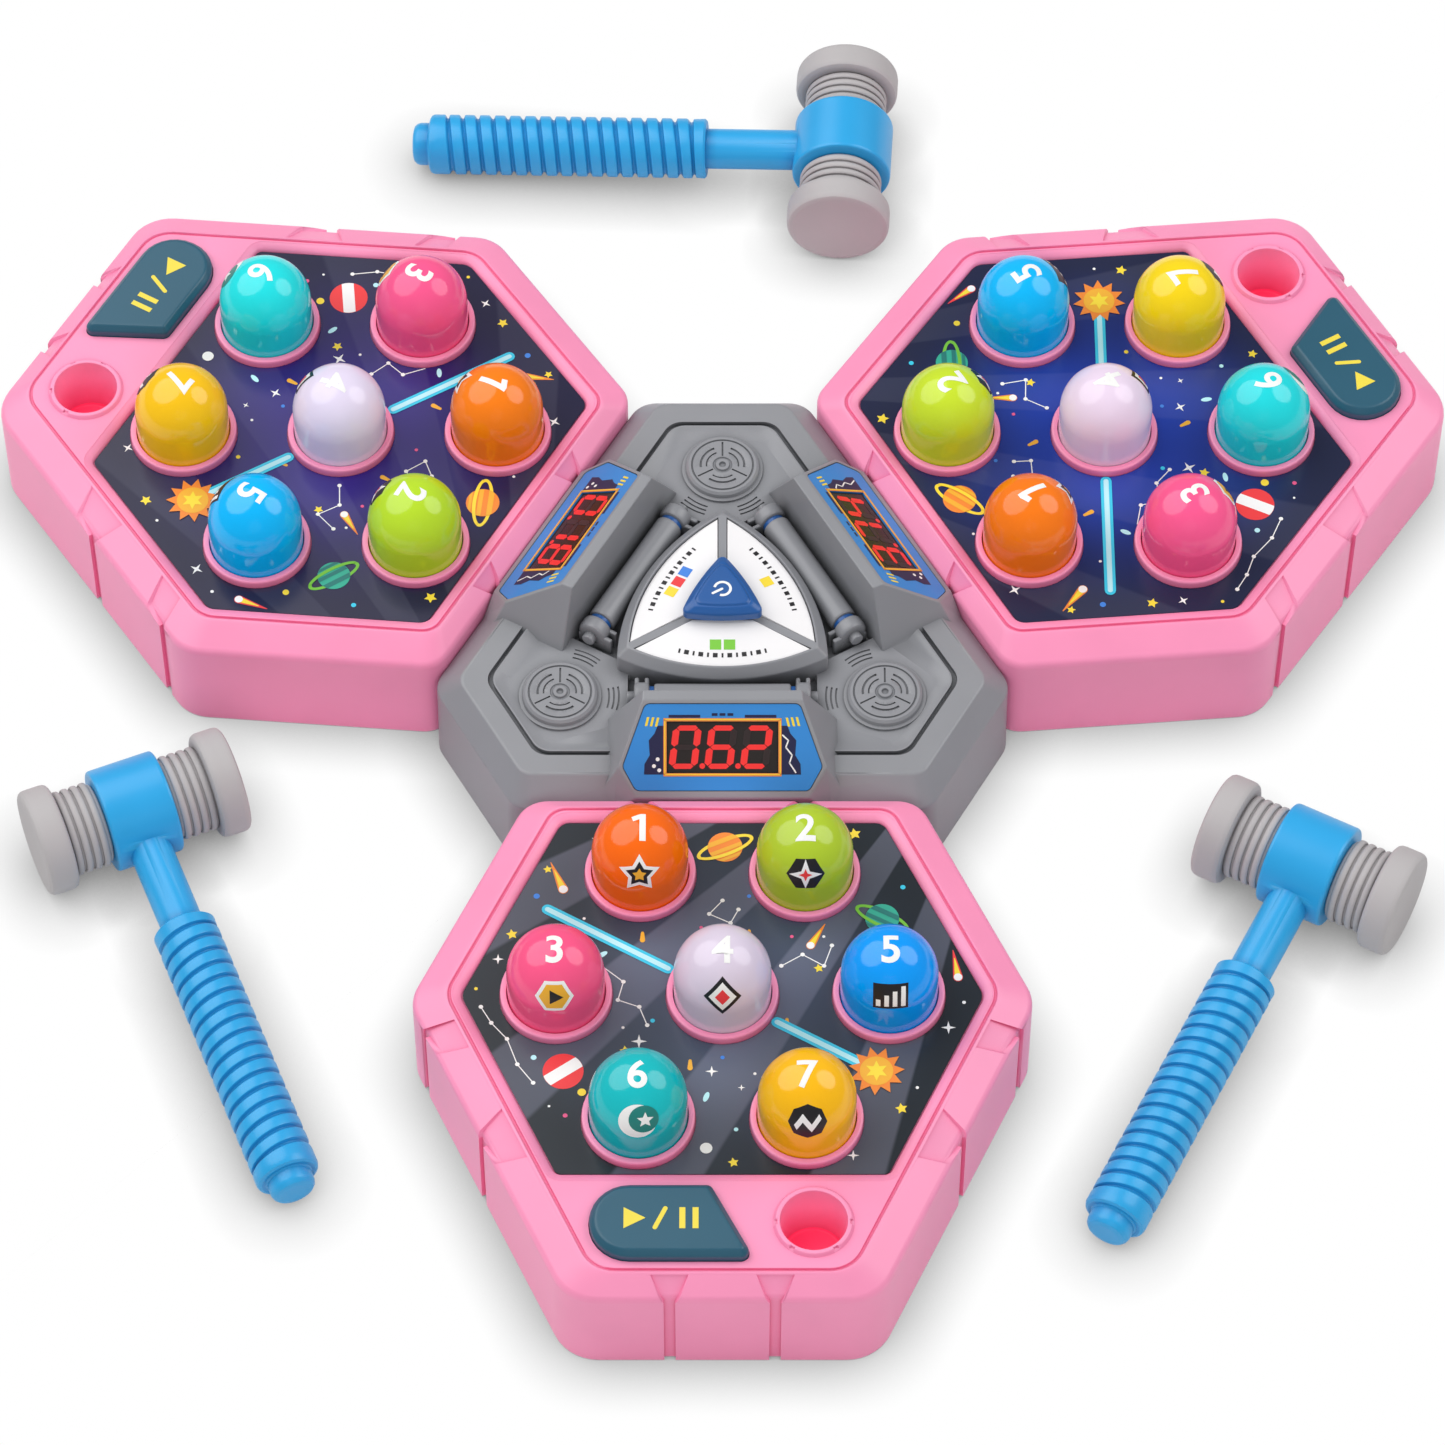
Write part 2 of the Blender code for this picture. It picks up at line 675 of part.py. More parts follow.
def button_corners():
    """Corners of the start button from its far left, counter-clockwise."""
    far = -PANEL_FAR - BUTTON_MARGIN
    near = -PANEL_NEAR + BUTTON_MARGIN
    return [
        Vector((-BUTTON_LEFT, far)),
        Vector((-BUTTON_LEFT, near)),
        Vector((BUTTON_NEAR_RIGHT, near)),
        Vector((-BUTTON_FAR_RIGHT, far)),
    ]


def button_outline(growth):
    """Rounded outline of the start button, grown or shrunk by a margin."""
    end = BUTTON_END_RADIUS + growth
    corner = BUTTON_CORNER_RADIUS + growth
    return rounded(inset(button_corners(), -growth), [end, end, corner, corner], BUTTON_CORNER_STEPS)


def start_button():
    """Raised button with a bevelled top, kept in by a flange under the deck."""
    body = button_outline(0)
    top = button_outline(-BUTTON_CHAMFER)
    flange = button_outline(BUTTON_FLANGE)
    flange_top = DECK_UNDERSIDE - SEAT_GAP
    crown = RIM_TOP + BUTTON_RISE
    return loft("start_button_tool", [
        (flange, flange_top - BUTTON_FLANGE_HEIGHT),
        (flange, flange_top),
        (body, flange_top),
        (body, crown - BUTTON_CHAMFER),
        (top, crown),
    ])


def dome():
    """Hollow pop-up cap with a retaining flange, built about its own axis."""
    flange_top = DECK_UNDERSIDE - SEAT_GAP
    flange_foot = flange_top - DOME_FLANGE_HEIGHT
    inner = DOME_RADIUS - DOME_WALL
    profile = []
    for step in range(DOME_ARC_STEPS + 1):
        angle = math.pi / 2 * (1 - step / DOME_ARC_STEPS)
        profile.append((DOME_RADIUS * math.cos(angle), DOME_SHOULDER + DOME_RADIUS * math.sin(angle)))
    profile[0] = (0, DOME_SHOULDER + DOME_RADIUS)
    profile += [
        (DOME_RADIUS, flange_top),
        (DOME_RADIUS + DOME_FLANGE, flange_top),
        (DOME_RADIUS + DOME_FLANGE, flange_foot),
        (inner, flange_foot),
        (inner, DOME_SHOULDER - DOME_WALL),
        (0, DOME_SHOULDER + inner / 2),
    ]
    return turned("dome_tool", profile, DOME_SEGMENTS)


def playfield():
    """Printed sheet in the bed, with a hole round each collar."""
    outline = pad_outline(SHEET_SIDES, SHEET_CORNERS)
    holes = [
        circle(x, y, COLLAR_RADIUS + SEAT_GAP, DOME_SEGMENTS)
        for x, y in spread(DOME_SPOT_SHARES, DOME_PITCH)
    ]
    low = BED_TOP + SEAT_GAP
    return plate("playfield_tool", [outline] + holes, low, low + SHEET_THICKNESS)


def pad_circuit_board():
    """Board under the domes with a spring seat and switch below each dome and the start button."""
    radius = DOME_PITCH * BOARD_SHARE
    hexagon = [turned_point(radius, 0, math.radians(60 * i)) for i in range(6)]
    board = plate("board_tool", [hexagon], BOARD_LEVEL, BOARD_TOP)
    button_middle = (BUTTON_NEAR_RIGHT - BUTTON_LEFT) / 2
    tab_end = -(PANEL_FAR + PANEL_NEAR) / 2 - BOARD_TAB_WIDTH / 2
    join(board, block(
        "board_tab_tool",
        (button_middle - BOARD_TAB_WIDTH / 2, tab_end, BOARD_LEVEL),
        (button_middle + BOARD_TAB_WIDTH / 2, 0, BOARD_TOP),
    ))
    seats = spread(DOME_SPOT_SHARES, DOME_PITCH) + [(button_middle, tab_end + BOARD_TAB_WIDTH / 2)]
    middle = (BOARD_LEVEL + BOARD_TOP) / 2
    return join(board, rods("switch_tool", seats, SWITCH_RADIUS, middle, SWITCH_TOP, SWITCH_SIDES))


def pad_bottom_cover():
    """Flat bottom cover inside the walls, with the board's posts and sunk screw holes."""
    outline = pad_outline(WALL_SIDES, WALL_CORNERS, PAD_WALL + CHANNEL_DEPTH + SEAT_GAP)
    cover = plate("cover_tool", [outline], 0, CAP_THICKNESS)
    posts = spread(POST_SPOT_SHARES, DOME_PITCH)
    middle = CAP_THICKNESS / 2
    join(cover, rods("post_tool", posts, POST_RADIUS, middle, BOARD_LEVEL - SEAT_GAP, SMALL_SEGMENTS))
    screws = spread(BOSS_SPOT_SHARES, DOME_PITCH)
    return cut(cover, rods(
        "screw_tool", screws, SCREW_RECESS_RADIUS, -OVERRUN, SCREW_RECESS_DEPTH, SMALL_SEGMENTS))


def console_rim(moved_in, radius):
    """Console outline inside the rim's outer edge."""
    return console_outline(CONSOLE_RIM[0] - moved_in, CONSOLE_RIM[1] - moved_in, radius)


def console_top_cover():
    """Grey casing: chamfered lobes, grooved rim, sunk tray, discs, frame, housings and rails."""
    cover = loft("console_shell_tool", [
        (console_outline(CONSOLE_SIDE, CONSOLE_LOBE, CONSOLE_CORNERS), SHELL_FOOT),
        (console_outline(CONSOLE_SIDE, CONSOLE_LOBE_TOP, CONSOLE_CORNERS), CONSOLE_WALL_TOP),
        (console_rim(0, CONSOLE_RIM_CORNERS), CONSOLE_RIM_TOP),
    ])
    groove_outer = console_rim(RIM_BAND, CONSOLE_RIM_CORNERS)
    groove_inner = console_rim(RIM_BAND + GROOVE_WIDTH, CONSOLE_RIM_CORNERS)
    groove_foot = CONSOLE_RIM_TOP - GROOVE_DEPTH
    cut(cover, plate("groove_tool", [groove_outer, groove_inner], groove_foot, CONSOLE_RIM_TOP + OVERRUN))
    brim_inset = RIM_BAND + GROOVE_WIDTH + GROOVE_LAND
    tray_brim = console_rim(brim_inset, CONSOLE_RIM_CORNERS)
    cut(cover, loft("tray_tool", [
        (console_rim(brim_inset + TRAY_SLOPE, TRAY_CORNERS), TRAY_TOP),
        (tray_brim, CONSOLE_RIM_TOP),
        (tray_brim, CONSOLE_RIM_TOP + OVERRUN),
    ]))
    moat_end = housing_back() + OVERRUN
    for direction in PAD_DIRECTIONS.values():
        facing = Matrix.Rotation(direction, 4, "Z")
        moat = block(
            "moat_tool", (MOAT_START, -MOAT_HALF, MOAT_FLOOR), (moat_end, MOAT_HALF, CONSOLE_RIM_TOP))
        cut(cover, turn_mesh(moat, facing))
    for direction in PAD_DIRECTIONS.values():
        facing = Matrix.Rotation(direction, 4, "Z")
        join(cover, turn_mesh(display_housing(), facing))
        join(cover, turn_mesh(rail(), facing))
        for side in (-1, 1):
            join(cover, turn_mesh(clevis(side), facing))
    embedded = TRAY_TOP - TRAY_THICKNESS / 2
    frame_outline = bowed_triangle(FRAME_TIP, FRAME_TIP_RADIUS)
    join(cover, loft("frame_tool", [
        (frame_outline, MOAT_FLOOR - TRAY_THICKNESS / 2),
        (frame_outline, FRAME_SHOULDER),
        (bowed_triangle(FRAME_TIP - FRAME_BAND, FRAME_TIP_RADIUS), FRAME_TOP),
    ]))
    for direction in LOBE_DIRECTIONS:
        x, y = turned_point(DISC_REACH, 0, direction)
        join(cover, turn_mesh(grille_disc(embedded), Matrix.Translation((x, y, 0))))
    hollow = console_outline(*CONSOLE_HOLLOW, CONSOLE_CORNERS - CONSOLE_WALL)
    cut(cover, loft("console_cavity_tool", [
        (hollow, SHELL_FOOT - OVERRUN),
        (hollow, CONSOLE_WALL_TOP - CONSOLE_WALL),
        (console_rim(CONSOLE_WALL, CONSOLE_CORNERS - CONSOLE_WALL), CONSOLE_CEILING),
    ]))
    under_frame = bowed_triangle(FRAME_TIP - 2 * FRAME_SHELL, FRAME_TIP_RADIUS)
    cut(cover, plate("frame_hollow_tool", [under_frame], CONSOLE_CEILING - OVERRUN, FRAME_UNDERSIDE))
    hole = inset(mode_outline(), -SLIDE_GAP)
    face_plate = panel_outline(SLIDE_GAP)
    panel_floor = -PANEL_REVEAL - PANEL_THICKNESS - SEAT_GAP
    for direction in PAD_DIRECTIONS.values():
        facing = Matrix.Rotation(direction, 4, "Z")
        mode_hole = plate("mode_hole_tool", [hole], FRAME_UNDERSIDE - OVERRUN, FRAME_TOP + OVERRUN)
        cut(cover, turn_mesh(mode_hole, facing))
        recess = plate("panel_recess_tool", [face_plate], panel_floor, OVERRUN)
        cut(cover, turn_mesh(recess, facing @ face_frame()))
        module_floor = -PANEL_REVEAL - MODULE_REVEAL - MODULE_DEPTH - SEAT_GAP
        pocket = block(
            "module_pocket_tool",
            (-WINDOW_HALF_WIDTH - SLIDE_GAP, -WINDOW_HALF_HEIGHT - SLIDE_GAP, module_floor),
            (WINDOW_HALF_WIDTH + SLIDE_GAP, WINDOW_HALF_HEIGHT + SLIDE_GAP, OVERRUN),
        )
        cut(cover, turn_mesh(pocket, facing @ face_frame()))
        slot_half = TONGUE_WIDTH / 2 + SLIDE_GAP
        slot = block(
            "tongue_slot_tool",
            (CONSOLE_HOLLOW[0] - OVERRUN, -slot_half, TONGUE_LEVEL - SLIDE_GAP),
            (CONSOLE_SIDE + OVERRUN, slot_half, TONGUE_LEVEL + TONGUE_HEIGHT + SLIDE_GAP),
        )
        cut(cover, turn_mesh(slot, facing))
    cut(cover, rods(
        "stem_hole_tool", [(0, 0)], POWER_STEM_RADIUS + SLIDE_GAP,
        FRAME_UNDERSIDE - OVERRUN, FRAME_TOP + OVERRUN, SMALL_SEGMENTS))
    bosses = [turned_point(CONSOLE_BOSS_REACH, 0, direction) for direction in LOBE_DIRECTIONS]
    return join(cover, rods(
        "console_boss_tool", bosses, BOSS_RADIUS,
        BASE_THICKNESS + SEAT_GAP, CONSOLE_CEILING + TRAY_THICKNESS / 2, SMALL_SEGMENTS))


def housing_back():
    """How far from the console's middle the back of a display housing stands."""
    return FACE_TOP[0] + FACE_BORDER * FACE_UP.x - RIDGE_DEPTH - BACK_RUN


def face_frame():
    """Matrix from the display face: across, up the slope and out of it."""
    across = Vector((0, 1, 0))
    out = across.cross(FACE_UP)
    return Matrix.Translation(FACE_MIDDLE) @ Matrix((across, FACE_UP, out)).transposed().to_4x4()


def face_corners():
    """Corners of the six-sided display face, counter-clockwise from the upper right."""
    return [
        Vector((FACE_TOP_HALF, FACE_HALF)),
        Vector((-FACE_TOP_HALF, FACE_HALF)),
        Vector((-FACE_TIP_HALF, -FACE_TIP_DROP)),
        Vector((-FACE_FOOT_HALF, -FACE_HALF)),
        Vector((FACE_FOOT_HALF, -FACE_HALF)),
        Vector((FACE_TIP_HALF, -FACE_TIP_DROP)),
    ]


def panel_outline(growth):
    """Rounded outline of the display panel, or of its recess."""
    return rounded(inset(face_corners(), -growth), FACE_CORNER_RADIUS + growth, PANEL_CORNER_STEPS)


def display_housing():
    """Sloped housing: a profile along the radius, shaved by four leaning flanks."""
    fall = -FACE_UP.z / FACE_UP.x
    top = Vector(FACE_TOP) + FACE_BORDER * Vector((FACE_UP.x, FACE_UP.z))
    back = housing_back()
    profile = [
        (back, CONSOLE_WALL_TOP),
        (CONSOLE_SIDE, CONSOLE_WALL_TOP),
        (CONSOLE_SIDE, FACE_FOOT[1] - (CONSOLE_SIDE - FACE_FOOT[0]) * fall),
        tuple(top),
        (top.x - RIDGE_DEPTH, top.y + RIDGE_RISE),
        (back, MOAT_FLOOR),
    ]
    housing = plate("housing_tool", [profile], -HOUSING_HALF, HOUSING_HALF)
    turn_mesh(housing, Matrix.Rotation(math.pi / 2, 4, "X"))
    corners = [face_frame() @ corner.to_3d() for corner in inset(face_corners(), -FACE_BORDER)]
    for first, second in ((0, 5), (5, 4), (1, 2), (2, 3)):
        shave(housing, corners[first], corners[second])
    return housing


def shave(solid, start, end):
    """Cut a solid back to a flank that leans out from an edge down to the tray."""
    edge = end - start
    outward = Vector((edge.y, -edge.x, 0)).normalized()
    if outward.y * start.y < 0:
        outward.negate()
    slope = outward * math.sin(FLANK_TILT) - Vector((0, 0, math.cos(FLANK_TILT)))
    normal = edge.cross(slope).normalized()
    if normal.dot(outward) < 0:
        normal.negate()
    shape = bmesh.new()
    shape.from_mesh(solid.data)
    everything = shape.verts[:] + shape.edges[:] + shape.faces[:]
    bmesh.ops.bisect_plane(shape, geom=everything, plane_co=start, plane_no=normal, clear_outer=True)
    rim = [cut_edge for cut_edge in shape.edges if cut_edge.is_boundary]
    bmesh.ops.edgeloop_fill(shape, edges=rim)
    bmesh.ops.recalc_face_normals(shape, faces=shape.faces)
    shape.to_mesh(solid.data)
    shape.free()


def rail():
    """Round rail lying across, behind a display housing."""
    made = rods("rail_tool", [(0, 0)], RAIL_RADIUS, -RAIL_HALF_LENGTH, RAIL_HALF_LENGTH, DOME_SEGMENTS)
    level = MOAT_FLOOR + RAIL_LIFT + RAIL_RADIUS
    lying = Matrix.Rotation(math.pi / 2, 4, "X")
    return turn_mesh(made, Matrix.Translation((RAIL_REACH, 0, level)) @ lying)


def clevis(side):
    """Block that carries one end of a rail."""
    middle = side * RAIL_HALF_LENGTH
    return block(
        "clevis_tool",
        (RAIL_REACH - CLEVIS_DEPTH / 2, middle - CLEVIS_WIDTH / 2, MOAT_FLOOR - TRAY_THICKNESS / 2),
        (RAIL_REACH + CLEVIS_DEPTH / 2, middle + CLEVIS_WIDTH / 2, MOAT_FLOOR + CLEVIS_HEIGHT),
    )


def grille_disc(foot):
    """Round disc with a sunk ring, turned about its own axis."""
    top = TRAY_TOP + DISC_HEIGHT
    ring = DISC_RADIUS * DISC_RING_SHARE
    return turned("disc_tool", [
        (0, top),
        (ring, top),
        (ring, top - DISC_GROOVE),
        (ring + DISC_GROOVE, top - DISC_GROOVE),
        (ring + DISC_GROOVE, top),
        (DISC_RADIUS, top),
        (DISC_RADIUS + DISC_FOOT, TRAY_TOP),
        (DISC_RADIUS + DISC_FOOT, foot),
        (0, foot),
    ], ROUND_SEGMENTS)


def mode_outline():
    """One third of the framed area between two ribs, drawn along +X."""
    lean = math.radians(60)
    edge = RIB_WIDTH / 2 + SLIDE_GAP
    centre, radius = side_arc(MODE_TIP, FRAME_SIDE_SHARE)
    widest = math.acos((edge - centre * math.sin(lean)) / radius) - (math.pi / 2 - lean)
    points = []
    for step in range(ARC_STEPS + 1):
        angle = widest * (2 * step / ARC_STEPS - 1)
        points.append((centre + radius * math.cos(angle), radius * math.sin(angle)))
    across = (HUB_REACH * math.sin(lean) - edge) / math.cos(lean)
    return [(HUB_REACH, -across)] + points + [(HUB_REACH, across)]


def mode_button():
    """Flat key that falls outwards, with a flange under the frame."""
    body = mode_outline()
    flange = inset(body, -MODE_FLANGE)
    crown = FRAME_TOP + MODE_RISE
    return loft("mode_button_tool", [
        (flange, MODE_FLANGE_FOOT),
        (flange, MODE_FLANGE_TOP),
        (body, MODE_FLANGE_TOP),
        (body, lambda x, y: crown - (x - HUB_REACH) * MODE_SLOPE_SHARE),
    ])


def power_button():
    """Three-sided cap on a round stem that snaps in below the frame's hub."""
    cap = bowed_triangle(POWER_TIP, POWER_TIP_RADIUS, POWER_SIDE_SHARE)
    top = POWER_FOOT + POWER_HEIGHT
    button = loft("power_button_tool", [
        (cap, POWER_FOOT),
        (cap, top - POWER_BEVEL),
        (bowed_triangle(POWER_TIP - 2 * POWER_BEVEL, POWER_TIP_RADIUS, POWER_SIDE_SHARE), top),
    ])
    stem_top = POWER_FOOT + POWER_BEVEL
    join(button, rods("stem_tool", [(0, 0)], POWER_STEM_RADIUS, POWER_STEM_FOOT, stem_top, SMALL_SEGMENTS))
    snap_radius = POWER_STEM_RADIUS + POWER_SNAP
    snap_top = FRAME_UNDERSIDE - SEAT_GAP
    return join(button, rods("snap_tool", [(0, 0)], snap_radius, POWER_STEM_FOOT, snap_top, SMALL_SEGMENTS))


def display_panel():
    """Printed panel of a display housing, with the window cut out."""
    low = -PANEL_REVEAL - PANEL_THICKNESS
    width = WINDOW_HALF_WIDTH + SLIDE_GAP
    height = WINDOW_HALF_HEIGHT + SLIDE_GAP
    window = [(-width, -height), (-width, height), (width, height), (width, -height)]
    panel = plate("panel_tool", [panel_outline(0), window], low, -PANEL_REVEAL)
    return turn_mesh(panel, face_frame())


def led_module():
    """Number display block behind the panel's window."""
    front = -PANEL_REVEAL - MODULE_REVEAL
    module = block(
        "module_tool",
        (-WINDOW_HALF_WIDTH, -WINDOW_HALF_HEIGHT, front - MODULE_DEPTH),
        (WINDOW_HALF_WIDTH, WINDOW_HALF_HEIGHT, front),
    )
    return turn_mesh(module, face_frame())


def bay_box(grown, low, high):
    """Box over the battery bay's floor plan."""
    half = BAY_WIDTH / 2 + grown
    return block("bay_tool", (-half, BAY_START - grown, low), (half, BAY_START + BAY_LENGTH + grown, high))


def console_base_plate():
    """Flat base inside the console's walls, with the battery bay, board posts and screw holes."""
    outline = console_outline(
        CONSOLE_HOLLOW[0] - SEAT_GAP, CONSOLE_HOLLOW[1] - SEAT_GAP, CONSOLE_CORNERS - CONSOLE_WALL)
    base = plate("base_tool", [outline], 0, BASE_THICKNESS)
    join(base, bay_box(BAY_WALL, BASE_THICKNESS / 2, BAY_HEIGHT + BAY_WALL))
    cut(base, bay_box(0, -OVERRUN, BAY_HEIGHT))
    cut(base, bay_box(DOOR_REBATE, -OVERRUN, DOOR_THICKNESS + SEAT_GAP))
    latch_half = DOOR_LATCH_WIDTH / 2 + SLIDE_GAP
    latch_end = BAY_START - DOOR_REBATE - DOOR_LATCH_LENGTH - SLIDE_GAP
    cut(base, block(
        "latch_slot_tool", (-latch_half, latch_end, -OVERRUN),
        (latch_half, BAY_START, DOOR_THICKNESS + SEAT_GAP)))
    for x, y in MAIN_POST_SPOTS:
        start = BAY_HEIGHT if y > BAY_START else 0
        join(base, rods(
            "main_post_tool", [(x, y)], POST_RADIUS,
            start + BASE_THICKNESS / 2, MAIN_BOARD_LEVEL - SEAT_GAP, SMALL_SEGMENTS))
    bosses = [turned_point(CONSOLE_BOSS_REACH, 0, direction) for direction in LOBE_DIRECTIONS]
    return cut(base, rods(
        "console_screw_tool", bosses, SCREW_RECESS_RADIUS, -OVERRUN, SCREW_RECESS_DEPTH, SMALL_SEGMENTS))


def battery_door():
    """Flush door of the battery bay with its finger latch."""
    door = bay_box(DOOR_REBATE - SLIDE_GAP, 0, DOOR_THICKNESS)
    half = DOOR_LATCH_WIDTH / 2
    end = BAY_START - DOOR_REBATE - DOOR_LATCH_LENGTH
    return join(door, block("latch_tool", (-half, end, 0), (half, BAY_START, DOOR_THICKNESS)))


def main_circuit_board():
    """Round board under the frame, with a switch below each mode button and the power button."""
    board = rods(
        "main_board_tool", [(0, 0)], MAIN_BOARD_RADIUS, MAIN_BOARD_LEVEL, MAIN_BOARD_TOP, ROUND_SEGMENTS)
    middle = (MAIN_BOARD_LEVEL + MAIN_BOARD_TOP) / 2
    spots = [turned_point(MODE_SWITCH_REACH, 0, direction) for direction in PAD_DIRECTIONS.values()]
    mode_top = MODE_FLANGE_FOOT - MODE_TRAVEL - SEAT_GAP
    join(board, rods("mode_switch_tool", spots, POST_RADIUS, middle, mode_top, SWITCH_SIDES))
    power_top = POWER_STEM_FOOT - POWER_TRAVEL - SEAT_GAP
    return join(board, rods("power_switch_tool", [(0, 0)], POST_RADIUS, middle, power_top, SWITCH_SIDES))


def speaker():
    """Small cone speaker against the ceiling of the rear lobe, turned about its own axis."""
    top = CONSOLE_CEILING - SEAT_GAP
    magnet = SPEAKER_RADIUS * MAGNET_SHARE
    waist = top - SPEAKER_HEIGHT + MAGNET_HEIGHT
    return turned("speaker_tool", [
        (0, top),
        (SPEAKER_RADIUS, top),
        (SPEAKER_RADIUS, top - DISC_FOOT),
        (magnet, waist),
        (magnet, top - SPEAKER_HEIGHT),
        (0, top - SPEAKER_HEIGHT),
    ], ROUND_SEGMENTS)


def hammer_handle():
    """Barrel across the head's axis with a socket at each end, stem, ribbed grip and end plug."""
    half = BARREL_WIDTH / 2
    socket = half - SPIGOT_LENGTH - SEAT_GAP
    bore = SPIGOT_RADIUS + SLIDE_GAP
    barrel = turned("barrel_tool", [
        (0, socket),
        (bore, socket),
        (bore, half),
        (BARREL_RADIUS - BARREL_EDGE, half),
        (BARREL_RADIUS, half - BARREL_EDGE),
        (BARREL_RADIUS, BARREL_EDGE - half),
        (BARREL_RADIUS - BARREL_EDGE, -half),
        (bore, -half),
        (bore, -socket),
        (0, -socket),
    ], ROUND_SEGMENTS)
    turn_mesh(barrel, Matrix.Rotation(math.pi / 2, 4, "X"))
    root = BARREL_RADIUS - STEM_RADIUS
    grip_start = BARREL_RADIUS + STEM_LENGTH
    grip_end = HANDLE_REACH - PLUG_LENGTH
    handle = turned("handle_tool", [
        (0, HANDLE_REACH),
        (PLUG_RADIUS, HANDLE_REACH),
        (PLUG_RADIUS, grip_end),
        (GRIP_RADIUS - GRIP_EDGE, grip_end),
        (GRIP_RADIUS, grip_end - GRIP_EDGE),
        (GRIP_RADIUS, grip_start + GRIP_EDGE),
        (GRIP_RADIUS - GRIP_EDGE, grip_start),
        (STEM_RADIUS, grip_start),
        (STEM_RADIUS, root),
        (0, root),
    ], DOME_SEGMENTS)
    turn_mesh(handle, Matrix.Rotation(math.pi / 2, 4, "Y"))
    return join(barrel, handle)


def hammer_head():
    """Soft ribbed end with a mushroom face and a spigot, drawn along +Z from the barrel."""
    seat = BARREL_WIDTH / 2 + SEAT_GAP
    face = HEAD_LENGTH / 2
    under = face - HEAD_CAP
    profile = [
        (0, face),
        (HEAD_RADIUS - HEAD_ROUND, face),
        (HEAD_RADIUS, face - HEAD_ROUND),
        (HEAD_RADIUS, under),
        (NECK_RADIUS, under),
    ]
    pitch = (under - seat) / 3
    for turn in range(2):
        level = under - pitch * (turn + 0.5)
        profile += [
            (NECK_RADIUS, level),
            (NECK_RADIUS + NECK_RIB, level - pitch / 3),
            (NECK_RADIUS, level - 2 * pitch / 3),
        ]
    profile += [(NECK_RADIUS, seat), (SPIGOT_RADIUS, seat)]
    profile += [(SPIGOT_RADIUS, seat - SPIGOT_LENGTH), (0, seat - SPIGOT_LENGTH)]
    return turned("head_tool", profile, DOME_SEGMENTS)


def holder(name, x, y, level, turn):
    """Empty that carries a group of pieces."""
    made = bpy.data.objects.new(name, None)
    made.location = (x, y, level)
    made.rotation_euler.z = turn
    PARTS.objects.link(made)
    return made


def piece(name, solid, material, carrier=None, spot=(0, 0, 0), turn=(0, 0, 0)):
    """One named piece with its own copy of a finished solid's mesh."""
    mesh = solid.data.copy()
    mesh.name = name
    mesh.materials.clear()
    mesh.materials.append(material)
    mesh.shade_smooth()
    mesh.set_sharp_from_angle(angle=SMOOTH_ANGLE)
    made = bpy.data.objects.new(name, mesh)
    made.location = spot
    made.rotation_euler = turn
    made.parent = carrier
    PARTS.objects.link(made)
    return made


def discard(*solids):
    """Remove finished solids whose copies are in place."""
    for solid in solids:
        bpy.data.objects.remove(solid)


def build_pads():
    """Three alike pads round the console."""
    shell, cover, sheet, board, button, cap = (
        pad_top_shell(), pad_bottom_cover(), playfield(), pad_circuit_board(), start_button(), dome())
    pink = plastic("pink_abs", PINK)
    print_sheet = plastic("printed_sheet", SLATE)
    fibreglass = plastic("green_board", BOARD_GREEN)
    button_plastic = plastic("start_button_abs", BUTTON_BLUE)
    caps = [plastic(f"dome_plastic_{i + 1}", colour, 0.15) for i, colour in enumerate(DOME_COLOURS)]
    for side, direction in PAD_DIRECTIONS.items():
        x, y = turned_point(PAD_REACH, 0, direction)
        carrier = holder(f"{side}_pad", x, y, 0, direction + math.pi / 2)
        piece(f"{side}_pad_top_shell", shell, pink, carrier)
        piece(f"{side}_pad_bottom_cover", cover, pink, carrier)
        piece(f"{side}_pad_playfield", sheet, print_sheet, carrier)
        piece(f"{side}_pad_circuit_board", board, fibreglass, carrier)
        piece(f"{side}_start_button", button, button_plastic, carrier)
        for i, (across, along) in enumerate(spread(DOME_SPOT_SHARES, DOME_PITCH)):
            piece(f"{side}_dome_{i + 1}", cap, caps[i], carrier, (across, along, 0))
    discard(shell, cover, sheet, board, button, cap)


def build_console():
    """Console between the pads."""
    cover, base, door = console_top_cover(), console_base_plate(), battery_door()
    board, cone, power = main_circuit_board(), speaker(), power_button()
    key, panel, module = mode_button(), display_panel(), led_module()
    grey = plastic("grey_abs", GREY)
    piece("console_top_cover", cover, grey)
    piece("console_base_plate", base, grey)
    piece("battery_door", door, grey)
    piece("main_circuit_board", board, plastic("main_board", BOARD_GREEN))
    x, y = turned_point(DISC_REACH, 0, LOBE_DIRECTIONS[0])
    piece("speaker", cone, plastic("speaker_black", DARK), spot=(x, y, 0))
    piece("power_button", power, plastic("power_button_abs", POWER_BLUE))
    white = plastic("mode_button_abs", WHITE, 0.3)
    print_panel = plastic("printed_panel", DISPLAY_BLUE)
    smoked = plastic("smoked_window", DARK, 0.1)
    for side, direction in PAD_DIRECTIONS.items():
        piece(f"{side}_mode_button", key, white, turn=(0, 0, direction))
        piece(f"{side}_display_panel", panel, print_panel, turn=(0, 0, direction))
        piece(f"{side}_led_display", module, smoked, turn=(0, 0, direction))
    discard(cover, base, door, board, cone, power, key, panel, module)


